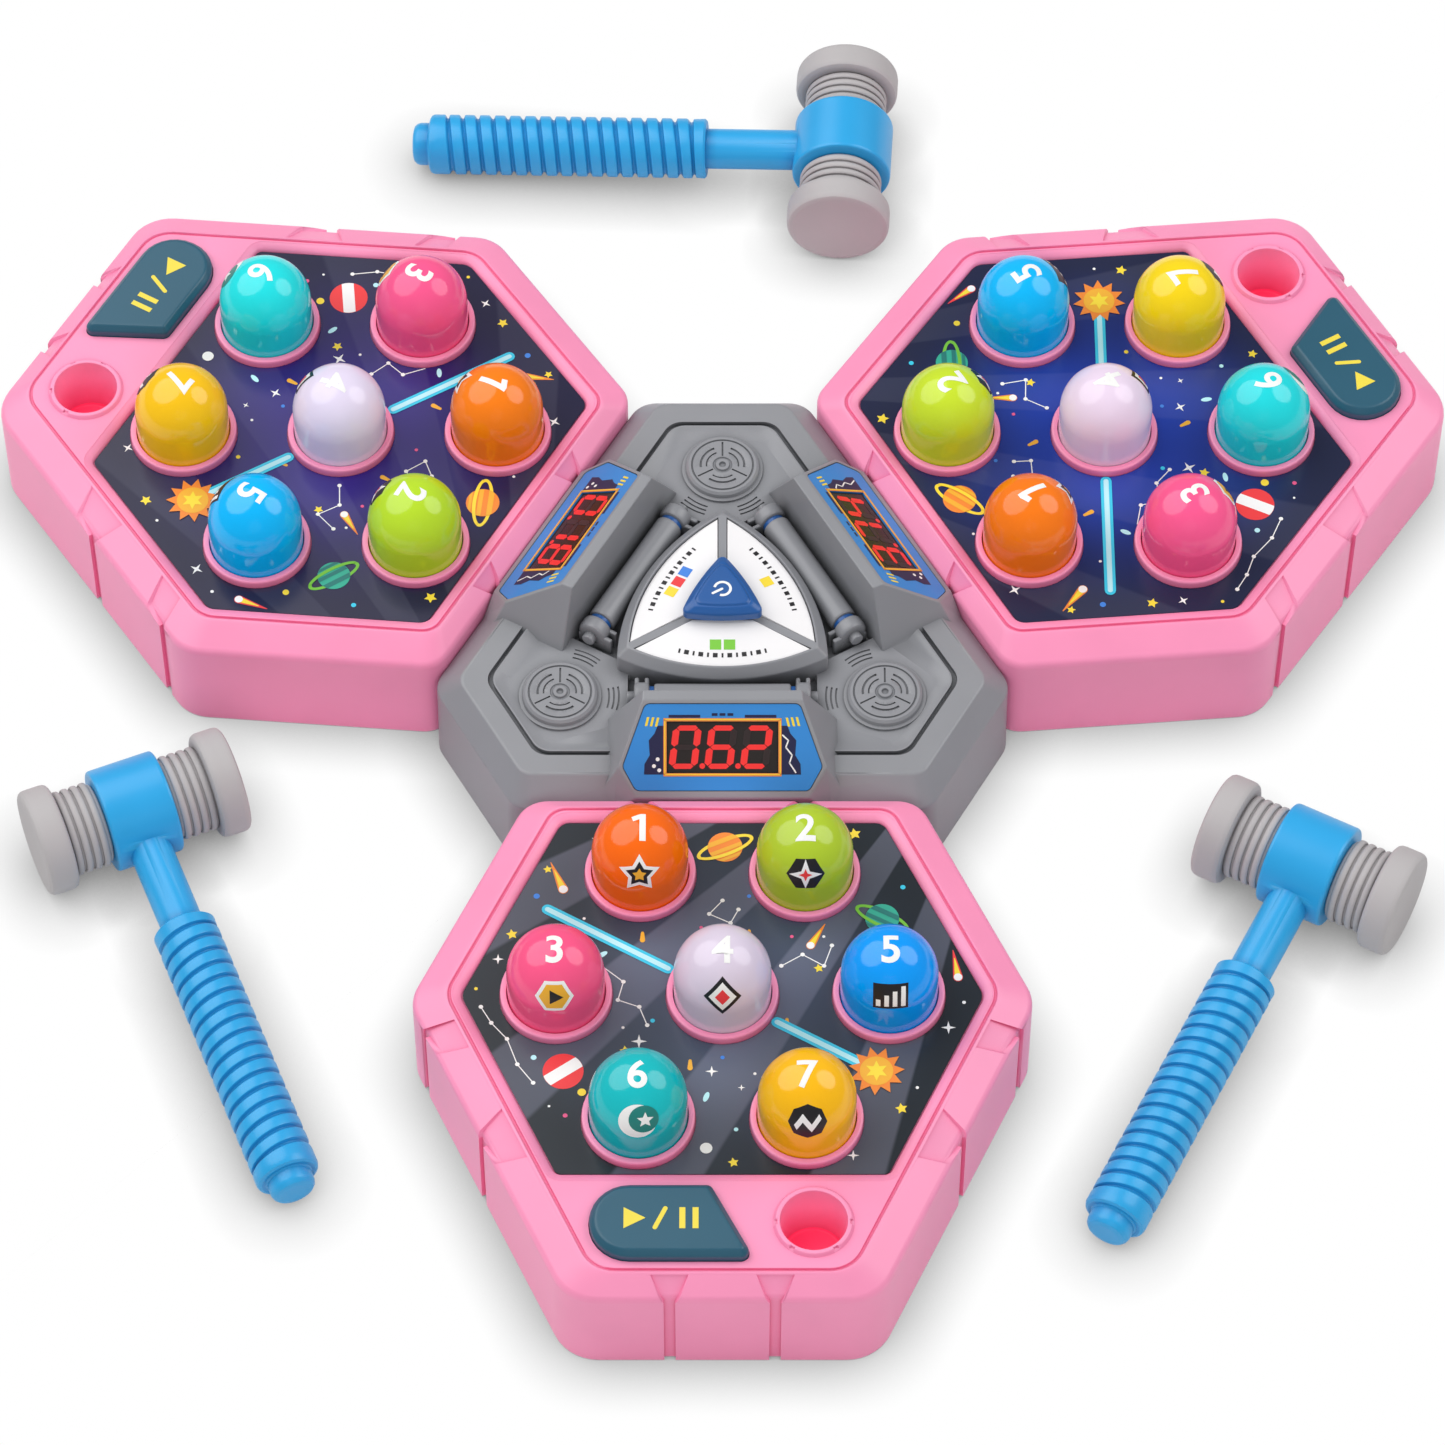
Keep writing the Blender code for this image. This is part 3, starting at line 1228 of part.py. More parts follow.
def build_hammers():
    """Three hammers lying on the floor, each on its head's rims and the end of its grip."""
    handle, head = hammer_handle(), hammer_head()
    blue = plastic("handle_abs", HANDLE_BLUE, 0.3)
    soft = plastic("soft_head", SOFT_GREY, 0.6)
    slope = math.asin((HEAD_RADIUS - GRIP_RADIUS) / (HANDLE_REACH - PLUG_LENGTH))
    for side, (x, y, direction) in HAMMER_SPOTS.items():
        carrier = holder(f"{side}_hammer", x, y, HEAD_RADIUS, direction)
        carrier.rotation_euler.y = slope
        piece(f"{side}_hammer_handle", handle, blue, carrier)
        piece(f"{side}_hammer_near_head", head, soft, carrier, turn=(math.pi / 2, 0, 0))
        piece(f"{side}_hammer_far_head", head, soft, carrier, turn=(-math.pi / 2, 0, 0))
    discard(handle, head)


for old in list(bpy.data.objects):
    bpy.data.objects.remove(old)
PARTS = collection("mole_pounding_game")
CUTTERS = collection("cutters")
build_pads()
build_console()
build_hammers()
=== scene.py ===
"""Looks of the mole pounding game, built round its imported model."""
import math
from contextlib import contextmanager

import bmesh
import bpy
from mathutils import Matrix, Vector


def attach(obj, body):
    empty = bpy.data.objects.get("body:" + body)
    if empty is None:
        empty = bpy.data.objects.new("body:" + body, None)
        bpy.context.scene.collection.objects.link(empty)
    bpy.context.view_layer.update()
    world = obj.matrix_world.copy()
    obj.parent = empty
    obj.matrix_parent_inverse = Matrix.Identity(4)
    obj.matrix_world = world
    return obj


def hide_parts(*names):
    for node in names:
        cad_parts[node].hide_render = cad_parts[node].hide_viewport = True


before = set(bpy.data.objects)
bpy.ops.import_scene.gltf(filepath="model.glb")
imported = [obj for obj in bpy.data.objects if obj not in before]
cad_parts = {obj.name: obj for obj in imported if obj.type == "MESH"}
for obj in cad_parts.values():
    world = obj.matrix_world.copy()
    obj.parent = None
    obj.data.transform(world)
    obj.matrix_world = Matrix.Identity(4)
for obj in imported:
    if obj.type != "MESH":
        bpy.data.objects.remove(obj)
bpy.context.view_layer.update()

# Where the pads and lobes are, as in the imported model
PAD_DIRECTIONS = {"front": math.radians(-90), "right": math.radians(30), "left": math.radians(150)}
LOBE_DIRECTIONS = [math.radians(90), math.radians(210), math.radians(330)]
PAD_REACH = 0.17398

# A millimetre, and the small gaps, lifts and overlaps
MM = 0.001
SEAT_GAP = 0.0003
DECAL_LIFT = 0.00008
OVERRUN = 0.002
WELD = 0.000002

# Smoothness of round work
ROUND_STEPS = 48
CORNER_STEPS = 7
BOW_STEPS = 20
TIP_STEPS = 5
FILLET_STEPS = 4
SMOOTH_ANGLE = math.radians(28)

# Pad sizes; sides are the slanted, the console and the near ones, corners the console, vertex and near ones
DOME_PITCH = 0.062
DOME_SPOTS = [(x * DOME_PITCH, y * DOME_PITCH) for x, y in (
    (-0.5, 0.866), (0.5, 0.866), (-1, 0), (0, 0), (1, 0), (-0.5, -0.866), (0.5, -0.866))]
DOME_RADIUS = 0.01825
DOME_WALL = 0.0017
DOME_SHOULDER = 0.0652
DOME_STEPS = 14
NUMERAL_TILT = 2
EMBLEM_TILT = 62
FLANGE = 0.0013
FLANGE_HEIGHT = 0.0015
COLLAR_WALL = 0.00245
COLLAR_TOP = 0.0525
COLLAR_ROUNDS = {1: 0.0004, 2: 0.0011}
SHELL_FOOT = 0.0006
PAD_WALL_TOP = 0.045
RIM_TOP = 0.051
BED_TOP = 0.0482
DECK_UNDERSIDE = 0.0455
SHEET_THICKNESS = 0.0006
SIDE_ANGLE = math.radians(25.4)
SHEET_SIDES = (0.08804, 0.07688, 0.07688)
BRIM = SEAT_GAP + 0.0034
SHEET_STEP = 0.001
SHEET_STEP_DROP = 0.0008
PANEL_DEPTH = 0.0374
LOOP_SETBACK = 0.0014
LOOP_SIDES = tuple(
    sheet + BRIM + setback for sheet, setback in zip(SHEET_SIDES, (LOOP_SETBACK, LOOP_SETBACK, PANEL_DEPTH)))
LOOP_WIDTH = 0.0013
LOOP_DEPTH = 0.0009
RIM_LAND = 0.0013
RIM_SIDES = tuple(distance + RIM_LAND for distance in LOOP_SIDES)
CHAMFERS = (0.0117, 0.0067, 0.0083)
WALL_SIDES = tuple(rim + chamfer for rim, chamfer in zip(RIM_SIDES, CHAMFERS))
WALL_CORNERS = (0.012, 0.016, 0.018)
RIM_CORNERS = (0.008, 0.012, 0.013)
SHEET_CORNERS = (0.005, 0.006, 0.003)
LEAST_CORNER = 0.003
PAD_WALL = 0.0037
EDGE_FILLET = 0.0022
CHANNEL_WIDTH = 0.0042
CHANNEL_FLARE = 0.0145
CHANNEL_DEPTH = 0.0015
CHANNEL_DROP = 0.0008
CHANNEL_SHORTFALL = 0.0005
NEAR_CHANNEL_OFFSET = 0.0193
CONSOLE_CHANNEL_OFFSET = 0.031
SIDE_FLARE = 0.0115
SIDE_FLARE_GROWTH = 0.006
SIDE_FLARE_DROP = 0.0003
SIDE_CHANNELS = ((0.1, 0.004), (0.47, -0.006))
PANEL_FAR = SHEET_SIDES[2] + BRIM
PANEL_NEAR = LOOP_SIDES[2]

# Hammer cup; its notches and their half width are angles in degrees
CUP_SPOT = (0.0333, -PANEL_FAR - PANEL_DEPTH * 0.47)
CUP_RADIUS = 0.0124
CUP_WALL = 0.0018
CUP_TAPER = 0.001
CUP_DEPTH = 0.025
CUP_LIP = 0.0014
CUP_FLARE = 0.0009
CUP_FLARE_DROPS = (0.0002, 0.0006)
CUP_ROUNDS = {1: 0.001, 2: 0.0004, 3: 0.0004}
# Where the painted shade and glow inside the cup stop: this far below the rim, with a small slack round the wall
CUP_SHADE_DROP = 0.0004
CUP_SHADE_SLACK = 0.0001
CUP_NOTCHES = (-178, -125, -55, -2)
NOTCH_HALF_ANGLE = 4

# Tongue that keys a pad into the console
TONGUE_HALF = 0.015
TONGUE_LEVEL = 0.006
TONGUE_HEIGHT = 0.005
TONGUE_LENGTH = 0.008

# Start button
BUTTON_LEFT = 0.0486
BUTTON_FAR_RIGHT = 0.0042
BUTTON_NEAR_RIGHT = 0.0115
BUTTON_MARGIN = 0.0035
BUTTON_END_RADIUS = 0.0148
BUTTON_CORNER_RADIUS = 0.003
BUTTON_LEAST_CORNER = 0.0008
BUTTON_RISE = 0.005
BUTTON_CHAMFER = 0.0022
BUTTON_FILLET = 0.0008

# Console sizes; pairs are the sides that face the pads and the lobes' ends
CONSOLE_SIDE = 0.0837
CONSOLE_LOBE = 0.1112
CONSOLE_LOBE_TOP = 0.1104
CONSOLE_WALL_TOP = 0.0378
CONSOLE_RIM_TOP = 0.0473
CONSOLE_RIM = (0.0735, 0.1029)
CONSOLE_HOLLOW = (0.0813, 0.108)
CONSOLE_CORNERS = 0.011
CONSOLE_RIM_CORNERS = 0.008
CONSOLE_WALL = 0.0024
CONSOLE_CEILING = 0.0393
CONSOLE_FILLET = 0.0009
CONSOLE_SMOOTH_ANGLE = math.radians(20)
RIM_BAND = 0.0088
GROOVE_WIDTH = 0.0018
GROOVE_LAND = 0.0006
GROOVE_DEPTH = 0.0022
TRAY_SLOPE = 0.0052
TRAY_TOP = 0.045
TRAY_CORNERS = 0.005
MOAT_FLOOR = 0.0415
MOAT_START = 0.026
MOAT_HALF = 0.0365
DISC_REACH = 0.0722
DISC_RADIUS = 0.0143
DISC_FOOT = 0.0016
DISC_HEIGHT = 0.0035
DISC_SLOT_DEPTH = 0.0007
TRAY_SLOT_START = 0.003
TRAY_SLOT_PITCH = 0.0019
TRAY_SLOT_WIDTH = 0.0007
TRAY_SLOT_DEPTH = 0.0006

# Three-sided frame, mode buttons and power button
FRAME_TIP = 0.047
FRAME_BOW = 0.72
FRAME_SHOULDER = 0.0533
FRAME_TOP = 0.0569
FRAME_BAND = 0.0046
FRAME_BEVEL = 0.0012
FRAME_FILLET = 0.0006
FRAME_TIP_RADIUS = 0.002
FRAME_UNDERSIDE = 0.0525
MODE_TIP = 0.0412
RIB_WIDTH = 0.0032
HUB_REACH = 0.009
MODE_RISE = 0.001
MODE_SLOPE = 0.117
MODE_EDGE = 0.001
MODE_FILLET = 0.0004
MODE_FLANGE = 0.0012
MODE_FLANGE_HEIGHT = 0.0014
POWER_TIP = 0.0185
POWER_BOW = 0.58
POWER_TIP_RADIUS = 0.0022
POWER_FOOT = 0.0597
POWER_TOP = 0.066
POWER_FILLET = 0.0009
STEM_RADIUS = 0.004
STEM_DROP = 0.0012
STEM_SINK = 0.001

# Display housings, drawn as the front one
FACE_TOP = (0.055, 0.0677)
FACE_FOOT = (0.0813, 0.0477)
RIDGE_DEPTH = 0.0045
RIDGE_RISE = 0.0002
BACK_RUN = 0.0035
HOUSING_HALF = 0.05
HOUSING_ROUND = 0.0006
HOUSING_ROUND_ANGLE = math.radians(12)
FACE_TOP_HALF = 0.0294
FACE_TIP_HALF = 0.038
FACE_TIP_DROP = 0.0074
FACE_FOOT_HALF = 0.033
FACE_CORNER_RADIUS = 0.0025
FACE_BORDER = 0.0016
FLANK_TILT = math.radians(32)
PANEL_THICKNESS = 0.0012
PANEL_REVEAL = 0.0003
WINDOW_HALF_WIDTH = 0.0212
WINDOW_HALF_HEIGHT = 0.0098
MODULE_DEPTH = 0.007
MODULE_REVEAL = 0.0005
MODULE_ROUND = 0.0003
FACE_MIDDLE = Vector((FACE_TOP[0] + FACE_FOOT[0], 0, FACE_TOP[1] + FACE_FOOT[1])) / 2
FACE_HALF = math.dist(FACE_TOP, FACE_FOOT) / 2
FACE_UP = Vector((FACE_TOP[0] - FACE_FOOT[0], 0, FACE_TOP[1] - FACE_FOOT[1])).normalized()
HOUSING_BACK = FACE_TOP[0] + FACE_BORDER * FACE_UP.x - RIDGE_DEPTH - BACK_RUN

# What the displays and mode buttons show
NUMBERS = {"front": (0, 6, 2), "left": (0, 1, 8), "right": (3, 7, 4)}
MODE_TILES = {"front": ("green", "green"), "right": ("yellow",), "left": ("blue", "red", "yellow")}
LIT_BARS = ["012345", "12", "01346", "01236", "1256", "02356", "023456", "012", "0123456", "012356"]

# Rails behind the display housings
RAIL_REACH = 0.0391
RAIL_RADIUS = 0.0055
RAIL_HALF_LENGTH = 0.031
RAIL_LIFT = 0.0015
RAIL_NECK = 0.0016
RAIL_ROUND = 0.0013
KNUCKLE_ROUND = 0.0018
FOOT_ROUND = 0.0008
EAR_ROUND = 0.0007
EAR_SINK = 0.002
CLEVIS_WIDTH = 0.006
CLEVIS_DEPTH = 0.012
CLEVIS_HEIGHT = 0.0108
EAR_REACH = 0.0028
EAR_HALF = 0.0009
STUB_RADIUS = 0.0026

# Hammers; a spot is its x, y and direction
HEAD_LENGTH = 0.082
HEAD_RADIUS = 0.021
HEAD_CAP = 0.012
HEAD_ROUND = 0.003
NECK_RADIUS = 0.0155
NECK_RIB = 0.0013
NECK_RIBS = 4
NECK_RIB_STEPS = 8
BARREL_HALF = 0.0133
BARREL_RADIUS = 0.0202
BARREL_EDGE = 0.0015
SPIGOT_RADIUS = 0.009
SPIGOT_LENGTH = 0.006
HANDLE_REACH = 0.178
HANDLE_STEM_RADIUS = 0.00825
GRIP_START = 0.0562
GRIP_END = 0.171
GRIP_RADIUS = 0.0123
GRIP_VALLEY = 0.0107
GRIP_RIBS = 17
GRIP_LEAN = 0.16
GRIP_FADE = 0.008
PLUG_RADIUS = 0.00875
HAMMER_SPOTS = {
    "left": (-0.2264, -0.073, math.radians(-67.7)),
    "right": (0.2245, -0.0975, math.radians(-117.7)),
    "rear": (0.0496, 0.253, math.radians(176.4)),
}


def clear_selection():
    """Back to object mode with nothing selected."""
    if bpy.context.object and bpy.context.object.mode != "OBJECT":
        bpy.ops.object.mode_set(mode="OBJECT")
    bpy.ops.object.select_all(action="DESELECT")


def take(*pieces):
    """Select these pieces only, the first of them active."""
    clear_selection()
    for piece in pieces:
        piece.select_set(True)
    bpy.context.view_layer.objects.active = pieces[0]


@contextmanager
def editing(piece):
    """Edit mode on one piece, with all of it selected."""
    take(piece)
    bpy.ops.object.mode_set(mode="EDIT")
    bpy.ops.mesh.select_all(action="SELECT")
    yield
    bpy.ops.object.mode_set(mode="OBJECT")


def modified(piece, kind, **settings):
    """A piece with a modifier applied."""
    modifier = piece.modifiers.new(kind.lower(), kind)
    for key, value in settings.items():
        setattr(modifier, key, value)
    take(piece)
    bpy.ops.object.modifier_apply(modifier=modifier.name)
    return piece


def named(name):
    """Name the primitive that was just added."""
    piece = bpy.context.object
    piece.name = name
    piece.data.name = name
    return piece


def settle(piece, move=None):
    """Put a piece's place and turn into its mesh, moved by a matrix first if one is given."""
    if move is not None:
        piece.matrix_world = move @ piece.matrix_world
    take(piece)
    bpy.ops.object.transform_apply(location=True, rotation=True, scale=True)
    return piece


def copied(piece, name, move):
    """A copy with its own mesh, moved by a matrix."""
    take(piece)
    bpy.ops.object.duplicate(linked=False)
    return settle(named(name), move)


def remove(*pieces):
    """Delete models whose copies are in place."""
    for piece in pieces:
        bpy.data.objects.remove(piece)


def joined(name, *pieces):
    """Several meshes as one piece."""
    take(*pieces)
    bpy.ops.object.join()
    return named(name)


def tidy(piece, angle=SMOOTH_ANGLE):
    """Weld a piece, point its faces outwards and shade it smooth up to an angle."""
    with editing(piece):
        bpy.ops.mesh.remove_doubles(threshold=WELD)
        bpy.ops.mesh.normals_make_consistent(inside=False)
    bpy.ops.object.shade_smooth_by_angle(angle=angle)
    return modified(piece, "WEIGHTED_NORMAL", keep_sharp=True)


def carve(piece, tool, operation="DIFFERENCE"):
    """Boolean of two solids, applied to the first; the tool goes."""
    modified(piece, "BOOLEAN", operation=operation, solver="EXACT", object=tool)
    remove(tool)
    return piece


def softened_edges(piece, width, segments=3, angle=SMOOTH_ANGLE):
    """Round a solid's edges that are sharper than an angle."""
    return modified(piece, "BEVEL", width=width, segments=segments, limit_method="ANGLE", angle_limit=angle)


def ride(piece, body, material, *replaced):
    """Finish a piece: its body, its material and the CAD nodes that it stands for."""
    if material is not None:
        piece.data.materials.clear()
        piece.data.materials.append(material)
    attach(piece, body)
    if replaced:
        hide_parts(*replaced)


def turned_point(along, across, direction):
    """A point given along and across a direction."""
    x = along * math.cos(direction) - across * math.sin(direction)
    y = along * math.sin(direction) + across * math.cos(direction)
    return (x, y)


def put(points, spot, turn=0.0):
    """Points turned by an angle in degrees and moved to a spot."""
    points = [turned_point(x, y, math.radians(turn)) for x, y in points]
    return [(spot[0] + x, spot[1] + y) for x, y in points]


def steps_between(start, end, steps):
    """Evenly spaced values from a start to an end, both of them in."""
    return [start + (end - start) * step / steps for step in range(steps + 1)]


def crossing(first, second):
    """Where two sides meet, each given by its direction and its distance."""
    (a, p), (b, q) = first, second
    turn = math.sin(b - a)
    return Vector(((p * math.sin(b) - q * math.sin(a)) / turn, (q * math.cos(a) - p * math.cos(b)) / turn))


def corners_of(sides):
    """Corners of a polygon whose sides are (direction, distance), counter-clockwise."""
    return [crossing(side, sides[(i + 1) % len(sides)]) for i, side in enumerate(sides)]


def inset(corners, distance):
    """Corners of a polygon moved in by a distance, or out by a negative one."""
    sides = []
    for i, corner in enumerate(corners):
        step = Vector(corners[(i + 1) % len(corners)]) - Vector(corner)
        angle = math.atan2(step.y, step.x) - math.pi / 2
        normal = Vector((math.cos(angle), math.sin(angle)))
        sides.append((angle, normal.dot(Vector(corner)) - distance))
    moved = corners_of(sides)
    return moved[-1:] + moved[:-1]


def rounded(corners, radii, steps=CORNER_STEPS):
    """A polygon's outline with each corner replaced by an arc."""
    points = []
    for i, corner in enumerate(corners):
        corner = Vector(corner)
        back = (Vector(corners[i - 1]) - corner).normalized()
        ahead = (Vector(corners[(i + 1) % len(corners)]) - corner).normalized()
        half = back.angle(ahead) / 2
        radius = radii[i] if isinstance(radii, (list, tuple)) else radii
        centre = corner + (back + ahead).normalized() * radius / math.sin(half)
        start = corner + back * radius / math.tan(half) - centre
        for sweep in steps_between(0, math.pi - 2 * half, steps):
            x, y = turned_point(start.x, start.y, sweep)
            points.append((centre.x + x, centre.y + y))
    return points


def circle(x, y, radius, steps=ROUND_STEPS):
    """Points round a circle."""
    turns = [2 * math.pi * i / steps for i in range(steps)]
    return [(x + radius * math.cos(turn), y + radius * math.sin(turn)) for turn in turns]


def in_space(rings):
    """Rings of (outline, level) as points in space; a level is a height or a function of the place."""
    return [
        [Vector((x, y, level(x, y) if callable(level) else level)) for x, y in outline] for outline, level in rings]


def lofted(name, rings):
    """A solid drawn from a filled circle, extruded ring by ring; a ring is (outline, level)."""
    rows = in_space(rings)
    bpy.ops.mesh.primitive_circle_add(vertices=len(rows[0]), radius=1, fill_type="NGON")
    piece = named(name)
    with editing(piece):
        shape = bmesh.from_edit_mesh(piece.data)
        ring = list(shape.verts)
        for i, row in enumerate(rows):
            if i:
                order = {vertex.co.copy().freeze(): place for place, vertex in enumerate(ring)}
                bpy.ops.mesh.extrude_region_move()
                shape = bmesh.from_edit_mesh(piece.data)
                fresh = [vertex for vertex in shape.verts if vertex.select]
                ring = sorted(fresh, key=lambda vertex: order[vertex.co.copy().freeze()])
            for vertex, place in zip(ring, row):
                vertex.co = place
        bmesh.update_edit_mesh(piece.data)
        bpy.ops.mesh.select_all(action="SELECT")
        bpy.ops.mesh.normals_make_consistent(inside=False)
    return piece


def bent(start, corner, end, steps):
    """Points of a small round from a start to an end, drawn towards a corner."""
    shares = [step / steps for step in range(steps + 1)]
    return [start.lerp(corner, share).lerp(corner.lerp(end, share), share) for share in shares]


def softened(rings, width):
    """Rings with each one between the first and the last replaced by a small fillet."""
    solid = in_space(rings)
    made = [rings[0]]
    for before, here, after in zip(solid, solid[1:], solid[2:]):
        rounds = []
        for a, b, c in zip(before, here, after):
            start = b.lerp(a, min(width / max((a - b).length, width), 0.5))
            end = b.lerp(c, min(width / max((c - b).length, width), 0.5))
            rounds.append(bent(start, b, end, FILLET_STEPS))
        for row in zip(*rounds):
            level = {(point.x, point.y): point.z for point in row}
            made.append(([(point.x, point.y) for point in row], lambda x, y, level=level: level[(x, y)]))
    return made + [rings[-1]]


def turned(name, profile, spot=(0, 0), steps=ROUND_STEPS):
    """A profile of (radius, height) points, drawn by extruding one point, spun round an upright axis."""
    x, y = spot
    bpy.ops.mesh.primitive_plane_add(size=0.001, location=(x + profile[0][0], y, profile[0][1]))
    piece = settle(named(name))
    with editing(piece):
        bpy.ops.mesh.merge(type="CENTER")
        for (r0, z0), (r1, z1) in zip(profile, profile[1:]):
            bpy.ops.mesh.extrude_region_move(TRANSFORM_OT_translate={"value": (r1 - r0, 0, z1 - z0)})
        bpy.ops.mesh.select_all(action="SELECT")
        bpy.ops.mesh.spin(steps=steps, angle=2 * math.pi, center=(x, y, 0), axis=(0, 0, 1))
    return tidy(piece)


def rounded_profile(profile, widths):
    """A profile with the corners that have a width rounded; widths maps a point's place to it."""
    made = []
    for i, point in enumerate(profile):
        if i not in widths:
            made.append(point)
            continue
        corner, before, after = [Vector(profile[place % len(profile)]) for place in (i, i - 1, i + 1)]
        start = corner.lerp(before, widths[i] / (corner - before).length)
        end = corner.lerp(after, widths[i] / (corner - after).length)
        made += [tuple(spot) for spot in bent(start, corner, end, FILLET_STEPS)]
    return made


def rod(name, radius, low, high, steps, edge=None):
    """Upright rod, its edges rounded if a width is given."""
    profile = [(0, low), (radius, low), (radius, high), (0, high)]
    return turned(name, rounded_profile(profile, {1: edge, 2: edge} if edge else {}), steps=steps)


def block(name, low, high):
    """A box between two corners."""
    middle = (Vector(low) + Vector(high)) / 2
    bpy.ops.mesh.primitive_cube_add(size=1, location=middle, scale=Vector(high) - Vector(low))
    return settle(named(name))


def plates(name, outlines, low, high):
    """Straight-sided solids over outlines that don't touch, as one piece."""
    return joined(name, *[lofted(name, [(outline, low), (outline, high)]) for outline in outlines])


def ellipse_band(spot, reach, width, start, end, turn=0.0, steps=24):
    """Outline of part of an elliptic ring with square ends, its ends in radians, its turn in degrees."""
    points = []
    for grown, angles in ((width / 2, (start, end)), (-width / 2, (end, start))):
        points += [((reach[0] + grown) * math.cos(angle), (reach[1] + grown) * math.sin(angle))
                   for angle in steps_between(*angles, steps)]
    return put(points, spot, turn)


def arc_band(spot, radius, width, start, end, steps=10):
    """Outline of a curved slot with square ends."""
    return ellipse_band(spot, (radius, radius), width, start, end, 0.0, steps)


def ellipse(spot, reach, turn=0.0, steps=24):
    """Outline of an ellipse."""
    return put([(reach[0] * x, reach[1] * y) for x, y in circle(0, 0, 1, steps)], spot, turn)


def star(spot, reach, share, points, turn=90):
    """Outline of a star with straight-sided points."""
    turns = [math.radians(turn) + math.pi * i / points for i in range(2 * points)]
    return put([turned_point(reach * share if i % 2 else reach, 0, angle) for i, angle in enumerate(turns)], spot)


def stroke(start, end, width, end_width=None):
    """Outline of a straight stroke, tapering if an end width is given, with round ends."""
    direction = math.atan2(end[1] - start[1], end[0] - start[0])
    points = []
    for centre, radius, first in ((end, (end_width or width) / 2, -90), (start, width / 2, 90)):
        ends = [turned_point(radius, 0, direction + math.radians(first + 30 * step)) for step in range(7)]
        points += put(ends, centre)
    return points


def slab(spot, width, height, lean=0.0):
    """Outline of a rectangle whose top leans over by a share of its height."""
    half, slip = width / 2, height * lean / 2
    low, high = -height / 2, height / 2
    return put([(-half - slip, low), (half - slip, low), (half + slip, high), (-half + slip, high)], spot)


def sliced(spot, radius, low, high, turn=0.0, steps=8):
    """Outline of the part of a disc between two levels across it."""
    points = []
    for flip, levels in ((1, (low, high)), (-1, (high, low))):
        for level in steps_between(*levels, steps):
            points.append((flip * math.sqrt(max(radius ** 2 - level ** 2, 0)), level))
    return put(points, spot, turn)


def flat(outline, level, material):
    """One printed shape: a filled outline that faces up."""
    area = sum(x0 * y1 - x1 * y0 for (x0, y0), (x1, y1) in zip(outline, outline[1:] + outline[:1]))
    bpy.ops.mesh.primitive_circle_add(vertices=len(outline), radius=1, fill_type="NGON")
    piece = named("print")
    for vertex, (x, y) in zip(piece.data.vertices, outline[::-1] if area < 0 else outline):
        vertex.co = (x, y, level)
    piece.data.materials.append(material)
    return piece


def printed(name, shapes, level=0.0, scale=MM):
    """Flat printed shapes as one piece: (outline, ink, layer), in millimetres."""
    return joined(name, *[
        flat([(x * scale, y * scale) for x, y in outline], level + DECAL_LIFT * layer, INKS[ink])
        for outline, ink, layer in shapes])


def pad_place(side):
    """Matrix from a pad's own axes, panel towards -Y, to its place beside the console."""
    direction = PAD_DIRECTIONS[side]
    x, y = turned_point(PAD_REACH, 0, direction)
    return Matrix.Translation((x, y, 0)) @ Matrix.Rotation(direction + math.pi / 2, 4, "Z")


def pad_corners(distances):
    """Six corners of a pad outline, from the console side's left."""
    side, console_side, near = distances
    return corners_of([
        (math.pi / 2, console_side), (math.pi - SIDE_ANGLE, side), (math.pi + SIDE_ANGLE, side),
        (3 * math.pi / 2, near), (2 * math.pi - SIDE_ANGLE, side), (2 * math.pi + SIDE_ANGLE, side)])


def pad_outline(distances, radii, moved_in=0):
    """Rounded pad outline; radii are the console, vertex and near corners'."""
    console_corner, vertex, near = [max(radius - moved_in, LEAST_CORNER) for radius in radii]
    corner_radii = [console_corner, vertex, near, near, vertex, console_corner]
    return rounded(inset(pad_corners(distances), moved_in), corner_radii)


def srgb(code):
    """Linear colour of an sRGB hex code."""
    parts = [int(code[i:i + 2], 16) / 255 for i in (1, 3, 5)]
    return tuple(part / 12.92 if part <= 0.04045 else ((part + 0.055) / 1.055) ** 2.4 for part in parts) + (1,)


def add(tree, kind, links=(), **settings):
    """A node with its settings, and the sockets or values that feed its inputs."""
    node = tree.nodes.new("ShaderNode" + kind)
    for key, value in settings.items():
        if hasattr(node, key):
            setattr(node, key, value)
        else:
            node.inputs[key.replace("_", " ")].default_value = value
    for socket, source in dict(links).items():
        if isinstance(source, bpy.types.NodeSocket):
            tree.links.new(source, node.inputs[socket])
        else:
            node.inputs[socket].default_value = source
    return node


# How far the painted shade reaches out of tight corners and creases
PAINTED_SHADE_REACH = 0.005


